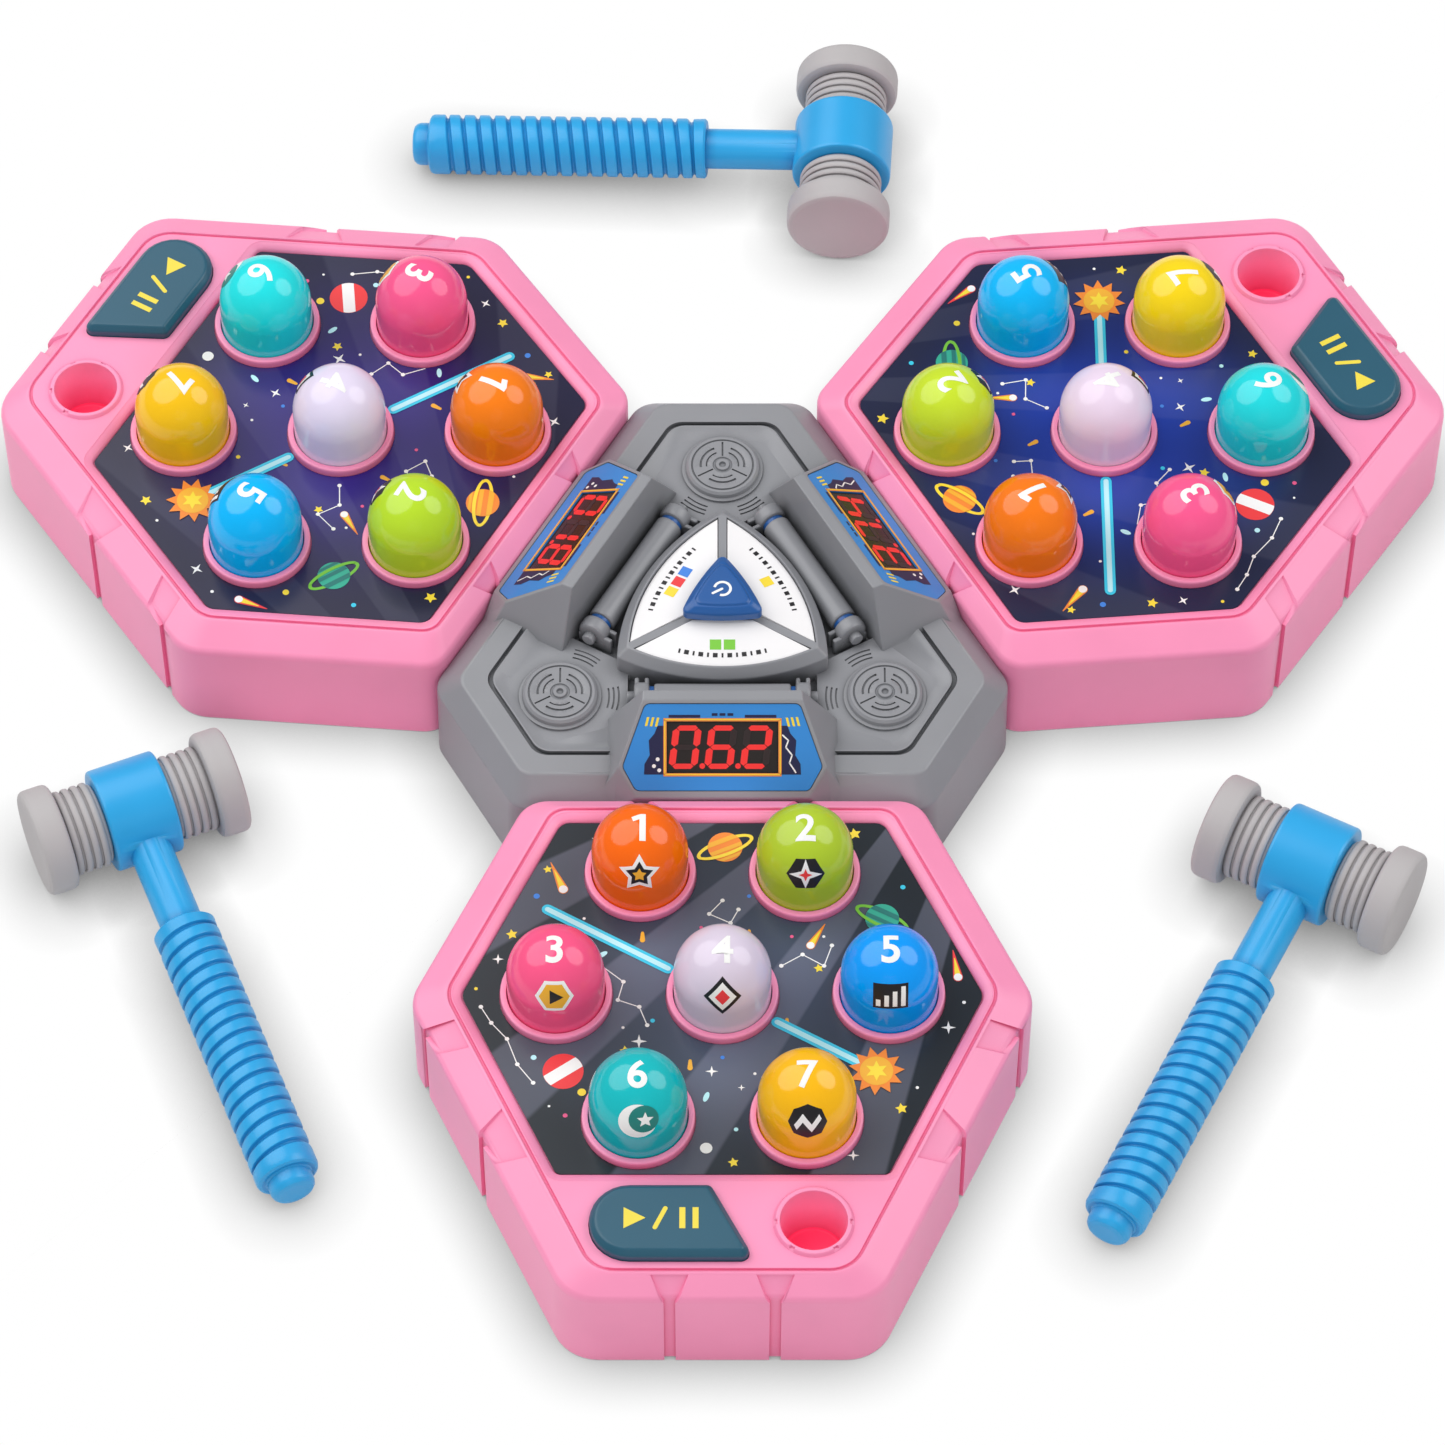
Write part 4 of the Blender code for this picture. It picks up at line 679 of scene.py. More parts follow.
def moulded(name, colour, roughness, grain_mm=0.6, grain_height_mm=0.01, tone=0.02, painted_shade=None, glow=None):
    """Injection-moulded plastic: even colour, fine grain, faint flow clouds.

    A painted shade is a darker colour that an ambient-occlusion mask mixes into tight corners and creases, where shade
    falls; a glow is emitted light, its colour and strength: real for lit number segments, painted light where it
    stands in for light seeping through the cup's plastic.
    """
    material = bpy.data.materials.new(name)
    material.use_nodes = True
    tree = material.node_tree
    shader = tree.nodes["Principled BSDF"]
    shader.inputs["IOR"].default_value = 1.5
    place = add(tree, "TexCoord").outputs["Object"]
    clouds = add(tree, "TexNoise", {"Vector": place}, Scale=35.0, Detail=2.0)
    low, high = [tuple(part * (1 + sign * tone) for part in srgb(colour)[:3]) + (1,) for sign in (-1, 1)]
    blend = add(tree, "ValToRGB", {"Fac": clouds.outputs["Fac"]})
    for stop, shade, position in zip(blend.color_ramp.elements, (low, high), (0.35, 0.65)):
        stop.color = shade
        stop.position = position
    colour_end = blend.outputs["Color"]
    if painted_shade:
        # painted shade: the ambient-occlusion mask darkens the colour in corners and creases
        corner = add(tree, "AmbientOcclusion", samples=4, only_local=True, Distance=PAINTED_SHADE_REACH)
        deeper = {"Factor": corner.outputs["AO"], 6: srgb(painted_shade), 7: colour_end}
        colour_end = add(tree, "Mix", deeper, data_type="RGBA").outputs[2]
    grain = add(tree, "TexNoise", {"Vector": place}, Scale=1000 / grain_mm, Detail=1.0)
    bump = add(tree, "Bump", {"Height": grain.outputs["Fac"]}, Strength=1.0, Distance=grain_height_mm / 1000)
    gloss = add(tree, "MapRange", {"Value": clouds.outputs["Fac"]}, To_Min=roughness * 0.9, To_Max=roughness * 1.1)
    tree.links.new(colour_end, shader.inputs["Base Color"])
    tree.links.new(bump.outputs["Normal"], shader.inputs["Normal"])
    tree.links.new(gloss.outputs["Result"], shader.inputs["Roughness"])
    if glow:
        shader.inputs["Emission Color"].default_value = srgb(glow[0])
        shader.inputs["Emission Strength"].default_value = glow[1]
    return material


# Pink casings: ABS, moulded in a satin tool, so highlights are broad and soft; a deeper pink is painted into corners
# and creases as painted shade
PINK = moulded("satin_pink_abs", "#FF99C1", 0.36, 0.7, 0.006, painted_shade="#E4447E")
# Inside of the hammer cups: the same pink ABS painted deeper as painted shade in the recess, with a pink emission as
# painted light for light seeping through the plastic
PAINTED_CUP_SHADE_PINK = moulded("pink_abs_painted_cup_shade_and_glow", "#FF6A94", 0.4, 0.7, 0.006, glow=("#FF2A58", 0.3))
# Grey console casing: ABS from a matt spark-eroded tool; a dark grey is painted into corners and creases as painted
# shade
GREY = moulded("matt_grey_abs", "#909196", 0.34, 0.6, 0.008, painted_shade="#4E5054")
# Start buttons: dark slate ABS with a fine grain
SLATE_BLUE = moulded("slate_start_button_abs", "#275A70", 0.35, 0.5, 0.005)
# Power button and rail bushings: deep blue ABS, a little shinier
POWER_BLUE = moulded("deep_blue_power_button_abs", "#235A9E", 0.3, 0.5, 0.004)
# Mode buttons: white ABS with a silk finish
WHITE = moulded("silk_white_mode_button_abs", "#F4F2F3", 0.35, 0.5, 0.003)
# Display panels: blue printed polycarbonate film
PANEL = moulded("printed_display_panel_film", "#358AD6", 0.35, 0.4, 0.002)
# Number modules: smoked window, nearly black
SMOKED = moulded("smoked_display_window", "#2B2726", 0.2, 0.4, 0.001)
# Hammer handles: bright blue polypropylene; a darker blue is painted into the grip's grooves and corners as painted
# shade
HANDLE = moulded("bright_blue_polypropylene", "#2CA8E6", 0.32, 0.6, 0.006, painted_shade="#0F66A8")
# Hammer heads: soft warm grey foamed vinyl; a darker grey is painted between the ribs and into corners as painted
# shade
SOFT = moulded("soft_grey_vinyl", "#B8B4B5", 0.62, 0.5, 0.015, painted_shade="#8B8789")
# Domes: glossy ABS from a polished tool, in their own hues; each pad's set is made lighter or darker as painted light
# and shade for how the lamps fall on it, brighter on the side pads, the front lavender darker under its highlight
CAP_COLOURS_SHADED_PER_PAD = {
    "front": ["#FF6C08", "#B4D032", "#FF5A8C", "#E0D3E6", "#009EFF", "#14BEC4", "#FFBE12"],
    "left": ["#FF8212", "#BCE22E", "#FF5C94", "#EBE0F8", "#00BAFF", "#20E2E6", "#FFC814"],
    "right": ["#FF7E12", "#CCE630", "#FF5C94", "#F0DCF2", "#00BCFF", "#20DEE4", "#FCDA14"],
}
CAPS = {
    side: [moulded(f"{side}_glossy_dome_abs_{i + 1}", colour, 0.12, 0.5, 0.0005) for i, colour in enumerate(colours)]
    for side, colours in CAP_COLOURS_SHADED_PER_PAD.items()
}


def ink(name, colour):
    """Screen-printed ink: even, satin, with a slightly uneven film."""
    return moulded(f"{name}_printing_ink", colour, 0.4, 0.3, 0.001, 0.015)


INKS = {name: ink(name, colour) for name, colour in {
    "white": "#F6F6F4", "yellow": "#F8DC3C", "gold": "#F2B233", "orange": "#F28A32", "red": "#EE3A3E",
    "pink": "#EC5A8C", "cyan": "#35CDEE", "pale_cyan": "#BDF3FB", "blue": "#3F84E0", "teal": "#2FB59A",
    "dark_teal": "#1C7F78", "green": "#7CCB3C", "navy": "#23254A", "black": "#1E1C20",
    "frame_orange": "#F29A48", "sign_yellow": "#F2DC4A",
}.items()}
# Number segments: red diffuser lit from behind
INKS["segment_red"] = moulded("lit_red_segment", "#E42F2E", 0.3, 0.4, 0.001, glow=("#E42F2E", 0.2))
INKS["segment_dark"] = ink("unlit_segment", "#322829")


def printed_field(side, middle, edge, ray_share):
    """Playfield sheet: printed film, a soft glow in the middle, dark edges and faint slanting rays."""
    material = moulded(f"{side}_printed_playfield_film", middle, 0.22, 0.4, 0.001)
    tree = material.node_tree
    tree.nodes["Principled BSDF"].inputs["Specular IOR Level"].default_value = 0.3
    direction = PAD_DIRECTIONS[side]
    x, y = turned_point(PAD_REACH, 0, direction)
    place = add(tree, "TexCoord").outputs["Object"]
    local = add(tree, "Mapping", {"Vector": place}, vector_type="TEXTURE",
                Location=(x, y, 0), Rotation=(0, 0, direction + math.pi / 2)).outputs["Vector"]
    distance = add(tree, "VectorMath", {0: local}, operation="LENGTH")
    glow = add(tree, "MapRange", {"Value": distance.outputs["Value"]}, interpolation_type="SMOOTHSTEP",
               From_Min=0.03, From_Max=0.1)
    ground = add(tree, "Mix", {"Factor": glow.outputs["Result"], 6: srgb(middle), 7: srgb(edge)}, data_type="RGBA")
    source = add(tree, "VectorMath", {0: local, 1: (0.12, 0.16, 0)}, operation="SUBTRACT")
    parts = add(tree, "SeparateXYZ", {"Vector": source.outputs["Vector"]})
    angle = add(tree, "Math", {0: parts.outputs["Y"], 1: parts.outputs["X"]}, operation="ARCTAN2")
    spin = add(tree, "Math", {0: angle.outputs["Value"], 1: 26.0}, operation="MULTIPLY")
    wave = add(tree, "Math", {0: spin.outputs["Value"]}, operation="SINE")
    rays = add(tree, "MapRange", {"Value": wave.outputs["Value"]}, interpolation_type="SMOOTHSTEP",
               From_Min=0.1, From_Max=0.3, To_Max=ray_share)
    lighter = {"Factor": rays.outputs["Result"], 6: ground.outputs[2], 7: srgb("#C9CCE8")}
    colour_end = add(tree, "Mix", lighter, data_type="RGBA").outputs[2]
    tree.links.new(colour_end, tree.nodes["Principled BSDF"].inputs["Base Color"])
    return material


FIELDS = {
    "front": printed_field("front", "#4F5A70", "#262C33", 0.12),
    "left": printed_field("left", "#35228C", "#24233F", 0.03),
    "right": printed_field("right", "#2146BC", "#252A46", 0.03),
}
# Circuit boards: green solder mask over fibreglass
BOARD = moulded("green_solder_mask", "#1F6B3A", 0.35, 1.2, 0.004, 0.06)
# Speaker cone: black pressed paper
CONE = moulded("black_speaker_paper", "#1C1C1D", 0.8, 0.3, 0.01)


def pad_shell():
    """Pink casing of a pad, in the pad's own axes."""
    def loop(moved_in):
        return pad_outline(LOOP_SIDES, RIM_CORNERS, moved_in)

    def bed(grown):
        return pad_outline(SHEET_SIDES, SHEET_CORNERS, -grown)

    walls, half = pad_outline(WALL_SIDES, WALL_CORNERS), LOOP_WIDTH / 2
    body = softened([
        (walls, SHELL_FOOT), (walls, PAD_WALL_TOP),
        (pad_outline(RIM_SIDES, RIM_CORNERS), RIM_TOP), (loop(-half), RIM_TOP)], EDGE_FILLET)
    shell = lofted("pad_shell", body + [
        (loop(-half / 2), RIM_TOP - LOOP_DEPTH), (loop(half / 2), RIM_TOP - LOOP_DEPTH), (loop(half), RIM_TOP)])
    carve(shell, wall_channels())
    lip = bed(BRIM + SEAT_GAP)
    carve(shell, lofted("bed_tool", [
        (bed(SEAT_GAP), BED_TOP), (bed(SHEET_STEP), RIM_TOP - SHEET_STEP_DROP),
        (bed(BRIM), RIM_TOP - SEAT_GAP), (lip, RIM_TOP), (lip, RIM_TOP + OVERRUN)]))
    cavity = pad_outline(WALL_SIDES, WALL_CORNERS, PAD_WALL)
    under, button = DECK_UNDERSIDE - OVERRUN, button_outline(SEAT_GAP)
    carve(shell, plates("cavity_tool", [cavity], SHELL_FOOT - OVERRUN, DECK_UNDERSIDE))
    carve(shell, joined("collars", *[collar(spot) for spot in DOME_SPOTS]), "UNION")
    bores = [circle(x, y, DOME_RADIUS + SEAT_GAP) for x, y in DOME_SPOTS] + [button]
    carve(shell, plates("bores", bores, under, BED_TOP + SHEET_THICKNESS))
    carve(shell, plates("button_hole", [button], under, RIM_TOP + OVERRUN))
    carve(shell, plates("cup_hole", [circle(*CUP_SPOT, CUP_RADIUS)], under, RIM_TOP + OVERRUN))
    cup, face = hammer_cup(), WALL_SIDES[1]
    # Tongue that keys the casing into the console
    high = (TONGUE_HALF, face + TONGUE_LENGTH, TONGUE_LEVEL + TONGUE_HEIGHT)
    tongue = block("tongue", (-TONGUE_HALF, face - OVERRUN, TONGUE_LEVEL), high)
    return joined("pad_shell", shell, cup, tongue)


def collar(spot):
    """Round wall with a soft lip that guides a dome."""
    bore = DOME_RADIUS + SEAT_GAP
    foot, outer = (BED_TOP + DECK_UNDERSIDE) / 2, bore + COLLAR_WALL
    profile = [(bore, foot), (bore, COLLAR_TOP), (outer, COLLAR_TOP), (outer, foot), (bore, foot)]
    return turned("collar", rounded_profile(profile, COLLAR_ROUNDS), spot)


def hammer_cup():
    """Deep cup for a hammer's handle, its flared lip cut into four by small notches."""
    lip, floor, outer = RIM_TOP + CUP_LIP, RIM_TOP - CUP_DEPTH, CUP_RADIUS + CUP_WALL
    profile = [
        (0, floor), (CUP_RADIUS - CUP_TAPER, floor), (CUP_RADIUS, lip), (outer - CUP_FLARE / 3, lip),
        (outer + CUP_FLARE, RIM_TOP - CUP_FLARE_DROPS[0]), (outer, RIM_TOP - CUP_FLARE_DROPS[1]),
        (outer, floor - CUP_WALL), (0, floor - CUP_WALL)]
    cup = turned("hammer_cup", rounded_profile(profile, CUP_ROUNDS), CUP_SPOT)
    notches = []
    for middle in CUP_NOTCHES:
        start, end = math.radians(middle - NOTCH_HALF_ANGLE), math.radians(middle + NOTCH_HALF_ANGLE)
        notches.append(arc_band(CUP_SPOT, outer + CUP_FLARE / 2, CUP_WALL + CUP_FLARE, start, end))
    return carve(cup, plates("notches", notches, RIM_TOP + CUP_LIP / 3, lip + OVERRUN))


def line_cup(casing):
    """Give the inside of a casing's cup the deeper pink and its glow: painted shade and painted light in the recess.
    """
    casing.data.materials.append(PAINTED_CUP_SHADE_PINK)
    for face in casing.data.polygons:
        places = [casing.data.vertices[i].co for i in face.vertices]
        inside = all(
            math.dist(place[:2], CUP_SPOT) < CUP_RADIUS + CUP_SHADE_SLACK
            and RIM_TOP - CUP_DEPTH - CUP_SHADE_SLACK < place.z < RIM_TOP - CUP_SHADE_DROP for place in places)
        face.material_index = 1 if inside else 0


def wall_channels():
    """Skin of the shell between the raised wall plates: slots that flare over the chamfer."""
    core_walls = pad_outline(WALL_SIDES, WALL_CORNERS, CHANNEL_DEPTH)
    core = lofted("channel_core", softened([
        (core_walls, SHELL_FOOT - OVERRUN), (core_walls, PAD_WALL_TOP - CHANNEL_DROP),
        (pad_outline(RIM_SIDES, RIM_CORNERS), RIM_TOP - CHANNEL_DROP)], EDGE_FILLET))
    half, turn, foot = CHANNEL_WIDTH / 2, PAD_WALL_TOP - CHANNEL_WIDTH / 2, SHELL_FOOT - OVERRUN

    def slot(before, after, offset=0.0, side=1):
        """Outline of a slot along the wall: it opens from its first edge to its second one at the rim."""
        points = [(-half, foot), (half, foot), (half, turn)]
        if offset:
            points.append((offset, PAD_WALL_TOP - SIDE_FLARE_DROP))
        points += [(after, RIM_TOP), (before, RIM_TOP), (-half, turn)]
        return [(x * side, z) for x, z in points][::side]

    corners = pad_corners(WALL_SIDES)
    straight = slot(-CHANNEL_FLARE / 2, CHANNEL_FLARE / 2)
    spots = []
    for first, last, offset, direction, run in (
            (corners[2], corners[3], NEAR_CHANNEL_OFFSET, -math.pi / 2, CHAMFERS[2]),
            (corners[0], corners[5], CONSOLE_CHANNEL_OFFSET, math.pi / 2, CHAMFERS[1])):
        spots += [((first + last) / 2 + Vector((sign * offset, 0)), direction, run, straight) for sign in (-1, 1)]
    for share, before in SIDE_CHANNELS:
        for first, last, direction, side in (
                (corners[1], corners[2], math.pi + SIDE_ANGLE, 1), (corners[4], corners[3], -SIDE_ANGLE, -1)):
            outline = slot(before, SIDE_FLARE + SIDE_FLARE_GROWTH, SIDE_FLARE, side)
            spots.append((first.lerp(last, share), direction, CHAMFERS[0], outline))
    slots = []
    for spot, direction, run, outline in spots:
        made = lofted("channel", [(outline, CHANNEL_SHORTFALL - run), (outline, OVERRUN)])
        stand = Matrix.Rotation(direction + math.pi / 2, 4, "Z") @ Matrix.Rotation(math.pi / 2, 4, "X")
        slots.append(settle(made, Matrix.Translation((spot.x, spot.y, 0)) @ stand))
    return carve(joined("channels", *slots), core)


def button_outline(growth):
    """Rounded outline of the start button, grown or shrunk by a margin."""
    far, near = -PANEL_FAR - BUTTON_MARGIN, -PANEL_NEAR + BUTTON_MARGIN
    corners = [(-BUTTON_LEFT, far), (-BUTTON_LEFT, near), (BUTTON_NEAR_RIGHT, near), (-BUTTON_FAR_RIGHT, far)]
    end = BUTTON_END_RADIUS + growth
    corner = max(BUTTON_CORNER_RADIUS + growth, BUTTON_LEAST_CORNER)
    return rounded(inset(corners, -growth), [end, end, corner, corner])


def start_button():
    """Raised button with a bevelled top."""
    body, flange = button_outline(0), button_outline(FLANGE)
    crown, flange_top = RIM_TOP + BUTTON_RISE, DECK_UNDERSIDE - SEAT_GAP
    rings = softened([
        (body, flange_top), (body, crown - BUTTON_CHAMFER), (button_outline(-BUTTON_CHAMFER), crown),
        (button_outline(-BUTTON_CHAMFER * 1.6), crown)], BUTTON_FILLET)
    return lofted("start_button", [(flange, flange_top - FLANGE_HEIGHT), (flange, flange_top)] + rings)


def dome():
    """Hollow pop-up cap with its flange, about its own axis."""
    inner = DOME_RADIUS - DOME_WALL
    flange_top = DECK_UNDERSIDE - SEAT_GAP
    flange_foot = flange_top - FLANGE_HEIGHT
    profile = [(0, DOME_SHOULDER + DOME_RADIUS)]
    for step in range(1, DOME_STEPS + 1):
        angle = math.pi / 2 * (1 - step / DOME_STEPS)
        profile.append((DOME_RADIUS * math.cos(angle), DOME_SHOULDER + DOME_RADIUS * math.sin(angle)))
    return turned("dome", profile + [
        (DOME_RADIUS, flange_top), (DOME_RADIUS + FLANGE, flange_top), (DOME_RADIUS + FLANGE, flange_foot),
        (inner, flange_foot), (inner, DOME_SHOULDER), (inner / 2, DOME_SHOULDER + inner * 0.8),
        (0, DOME_SHOULDER + inner)])


def playfield():
    """Sheet that lies in the bed, with a hole round each collar."""
    low = BED_TOP + SEAT_GAP
    high = low + SHEET_THICKNESS
    sheet = plates("playfield", [pad_outline(SHEET_SIDES, SHEET_CORNERS)], low, high)
    holes = [circle(x, y, DOME_RADIUS + SEAT_GAP + COLLAR_WALL + SEAT_GAP) for x, y in DOME_SPOTS]
    return carve(sheet, plates("holes", holes, low - OVERRUN, high + OVERRUN))


def gridded(piece, step=0.0011):
    """Cut a flat print into small facets, so that it can follow a curved face."""
    count = int(max(max(abs(vertex.co.x), abs(vertex.co.y)) for vertex in piece.data.vertices) / step)
    with editing(piece):
        for normal in ((1, 0, 0), (0, 1, 0)):
            for i in range(-count, count + 1):
                bpy.ops.mesh.select_all(action="SELECT")
                bpy.ops.mesh.bisect(plane_co=Vector(normal) * (i * step + step / 3), plane_no=normal)
    return piece


def wrapped(piece, cap, tilt, lift=DECAL_LIFT):
    """Press a flat print onto a dome, at a tilt from its top towards the player."""
    gridded(piece)
    above = Matrix.Rotation(math.radians(tilt), 4, "X") @ Matrix.Translation((0, 0, DOME_RADIUS * 1.3))
    piece.matrix_world = Matrix.Translation((0, 0, DOME_SHOULDER)) @ above
    modified(piece, "SHRINKWRAP", target=cap, wrap_method="PROJECT", use_project_z=True,
             use_negative_direction=True, use_positive_direction=False, offset=lift)
    settle(piece)
    bpy.ops.object.shade_smooth()
    return piece


def numeral(digit, height=0.0117, weight=0.022):
    """A plain bold digit as a flat mesh round its own middle."""
    if digit == 1:
        one = [(0, -0.5), (0.2, -0.5), (0.2, 0.5), (0.03, 0.5), (-0.26, 0.37), (-0.2, 0.19), (0, 0.27)]
        return printed("numeral", [(one, "white", 0)], 0, height)
    bpy.ops.object.text_add()
    text = bpy.context.object.data
    text.body, text.offset, text.resolution_u = str(digit), weight, 6
    bpy.ops.object.convert(target="MESH")
    piece = named("numeral")
    low, high = [
        Vector([end(vertex.co[i] for vertex in piece.data.vertices) for i in range(3)]) for end in (min, max)]
    settle(piece, Matrix.Scale(height / (high.y - low.y), 4) @ Matrix.Translation(-(low + high) / 2))
    piece.data.materials.append(INKS["white"])
    return piece


def shrunk(outline, share):
    """An outline drawn smaller round its own middle."""
    return [(x * share, y * share) for x, y in outline]


HEXAGON = circle(0, 0, 7.2, 6)
DIAMOND = [(0, 8.0), (-7.0, 0), (0, -8.0), (7.0, 0)]
ZIGZAG = [(-5.0, -1.2), (-1.8, 3.7), (1.5, -0.7), (4.2, 3.3), (5.1, 1.4), (1.5, -4.2), (-1.8, 0.2), (-4.0, -3.3)]
BARS = [slab((x, height / 2 - 4.2), 1.7, height) for x, height in ((-4.6, 3), (-1.5, 5), (1.6, 6.6), (4.7, 8.4))]
# Plain emblem of each dome: layers from the lowest up, each an ink and its shapes in millimetres
EMBLEMS = [
    [(colour, star((0, 0), reach, 0.55, 5)) for colour, reach in (("white", 8.0), ("black", 5.4), ("gold", 2.8))],
    [("black", HEXAGON), ("white", star((0, 0), 6.2, 0.36, 4)), ("red", star((0, 0), 2.6, 0.4, 4))],
    [("white", HEXAGON), ("gold", shrunk(HEXAGON, 0.8)), ("black", circle(0, 0, 3.4, 3))],
    [("black", DIAMOND), ("white", shrunk(DIAMOND, 0.74)), ("red", shrunk(DIAMOND, 0.4))],
    [("black", slab((0, 0), 13, 10.5)), ("white", *BARS)],
    [("white", circle(0, 0, 7.0, 40)), ("dark_teal", circle(2.3, 1.1, 5.5, 36)),
     ("white", star((2.9, 1.1), 3.2, 0.45, 5))],
    [("black", circle(0, 0, 7.2, 8)), ("white", ZIGZAG)],
]


def dome_print(i, cap):
    """Number and emblem of a dome."""
    pieces = [wrapped(numeral(i + 1), cap, NUMERAL_TILT)]
    for layer, (colour, *outlines) in enumerate(EMBLEMS[i], 1):
        flat_shapes = printed("emblem", [(outline, colour, 0) for outline in outlines])
        pieces.append(wrapped(flat_shapes, cap, EMBLEM_TILT, DECAL_LIFT * layer))
    return joined("dome_print", *pieces)


def ringed_ball(spot, radius, body, stripe, ring, turn):
    """A striped ball with a slanting ring, drawn flat."""
    ends = [math.radians(angle) for angle in (-20, 200, 198, 342)]
    back, front = [
        ellipse_band(spot, (radius * 1.65, radius * 0.5), radius * 0.22, *pair, turn) for pair in (ends[:2], ends[2:])]
    stripes = [
        (sliced(spot, radius * 0.98, radius * low, radius * high, turn), stripe, 3)
        for low, high in ((0.3, 0.62), (-0.28, -0.02), (-0.85, -0.66))]
    return [(back, ring, 1), (circle(*spot, radius, 32), body, 2)] + stripes + [(front, ring, 4)]


def chain(points):
    """Dots joined by thin lines, like a star chart."""
    shapes = [(circle(x, y, 0.85, 14), "white", 2) for x, y in points]
    return shapes + [(stroke(a, b, 0.4), "white", 1) for a, b in zip(points, points[1:])]


def comet(spot, direction, length, head, tail):
    """A small comet: a long tail in two colours and a round head."""
    far, middle = [put([turned_point(length * share, 0, math.radians(direction))], spot)[0] for share in (1, 0.7)]
    return [
        (stroke(spot, far, head * 2.3, 0.3), tail, 1), (stroke(spot, middle, head * 1.6, 0.3), "yellow", 2),
        (circle(*spot, head, 20), "white", 3)]


def field_motifs():
    """Night-sky print of a playfield: own stars, balls, comets and one bright streak, in millimetres."""
    rise = math.radians(-30)
    edge = DOME_RADIUS / MM + 5.2
    shapes = []
    for near, far in ((-76, -edge), (edge, 66)):
        ends = [turned_point(near, 0, rise), turned_point(far, 0, rise)]
        shapes += [(stroke(*ends, 4.4), "cyan", 3), (stroke(*ends, 2.0), "pale_cyan", 4)]
    sun = (57, -33)
    shapes += [(star(sun, 10.5, 0.66, 11, 4), "orange", 5), (circle(*sun, 6.2, 28), "gold", 6)]
    shapes += [(star(sun, 4.4, 0.5, 6), "yellow", 7)]
    shapes += ringed_ball((1, 66), 6.6, "orange", "gold", "yellow", 24)
    shapes += ringed_ball((60, 34), 6.4, "teal", "dark_teal", "green", -28)
    shapes += [(circle(-59, -33, 7.6, 32), "red", 1), (sliced((-59, -33), 7.5, -2.4, 2.4, 35), "white", 2)]
    shapes += [(circle(-52, -42, 1.6, 16), "yellow", 1), (circle(-70, -27, 1.1, 14), "pale_cyan", 1)]
    shapes.append((circle(-6, -66, 2.3, 20), "white", 3))
    shapes += comet((-60, 47), 112, 13, 1.7, "orange") + comet((33, 22), 60, 11, 1.5, "orange")
    shapes += comet((88, 8), 98, 12, 1.6, "red")
    shapes.append((stroke((-44, 12), (-37, 6), 0.4), "white", 1))
    for points in (
            [(-37, 6), (-39, -2), (-31, -5), (-28, -13)], [(22, 13), (30, 18), (38, 13), (41, 22)],
            [(0, 42), (-5, 36), (3, 32), (6, 38)], [(-90, -5), (-86, -12), (-80, -19), (-76, -30), (-70, -38)]):
        shapes += chain(points)
    shapes.append((circle(5, -58, 0.85, 14), "pale_cyan", 2))
    for x, y, reach in (
            (-31, -20, 3.0), (-4, -33, 2.4), (-47, 70, 2.6), (84, -14, 2.8), (-84, 16, 2.2), (48, -69, 2.3),
            (7, -40, 1.4)):
        shapes.append((star((x, y), reach, 0.28, 4), "white", 1))
    for x, y, reach in (
            (50, 72, 2.6), (-36, -24, 2.2), (66, -49, 2.4), (36, 12, 2.0), (-79, 27, 2.3), (4, -72, 2.1),
            (-66, 56, 1.8)):
        shapes.append((star((x, y), reach, 0.5, 5, 100), "yellow", 1))
    for x, y, radius, colour in (
            (-8, 30, 0.7, "pink"), (10, 44, 0.8, "blue"), (-26, -11, 0.9, "cyan"), (26, 26, 0.7, "pink"),
            (30, -29, 0.9, "yellow"), (-70, 44, 1.2, "blue"), (68, 48, 1.0, "cyan"), (-58, -52, 0.9, "pink"),
            (76, 22, 1.3, "yellow"), (0, -27, 0.8, "blue"),
            (-37, -14, 0.6, "white"), (38, 26, 0.6, "white"), (-52, 34, 0.6, "white"), (12, -34, 0.6, "white"),
            (72, -40, 0.6, "white"), (-16, 70, 0.6, "white"), (90, -3, 0.7, "white"), (-92, 3, 0.7, "yellow"),
            (-64, -48, 0.5, "white")):
        shapes.append((circle(x, y, radius, 14), colour, 1))
    for x, y, turn in ((-6, -44, 70), (-42, -30, -20), (-45, 18, 35)):
        shapes.append((ellipse((x, y), (2.2, 1.0), turn), "pale_cyan", 1))
    for x, y in ((-30, 26), (10, 27), (-12, -30), (24, -12)):
        shapes.append((stroke((x, y - 1.6), (x, y + 1.6), 2.0, 1.2), "gold", 1))
    return shapes


def start_sign():
    """Plain play sign, slash and pause sign for a start button."""
    y = (-PANEL_FAR - PANEL_NEAR) / 2 / MM
    outlines = [[(-36, y - 4.4), (-28, y), (-36, y + 4.4)], stroke((-24.6, y - 4), (-20.8, y + 4), 1.7)]
    outlines += [slab((x, y), 2.2, 8.8) for x in (-14.6, -9.8)]
    return printed("start_sign", [(outline, "sign_yellow", 1) for outline in outlines], RIM_TOP + BUTTON_RISE)


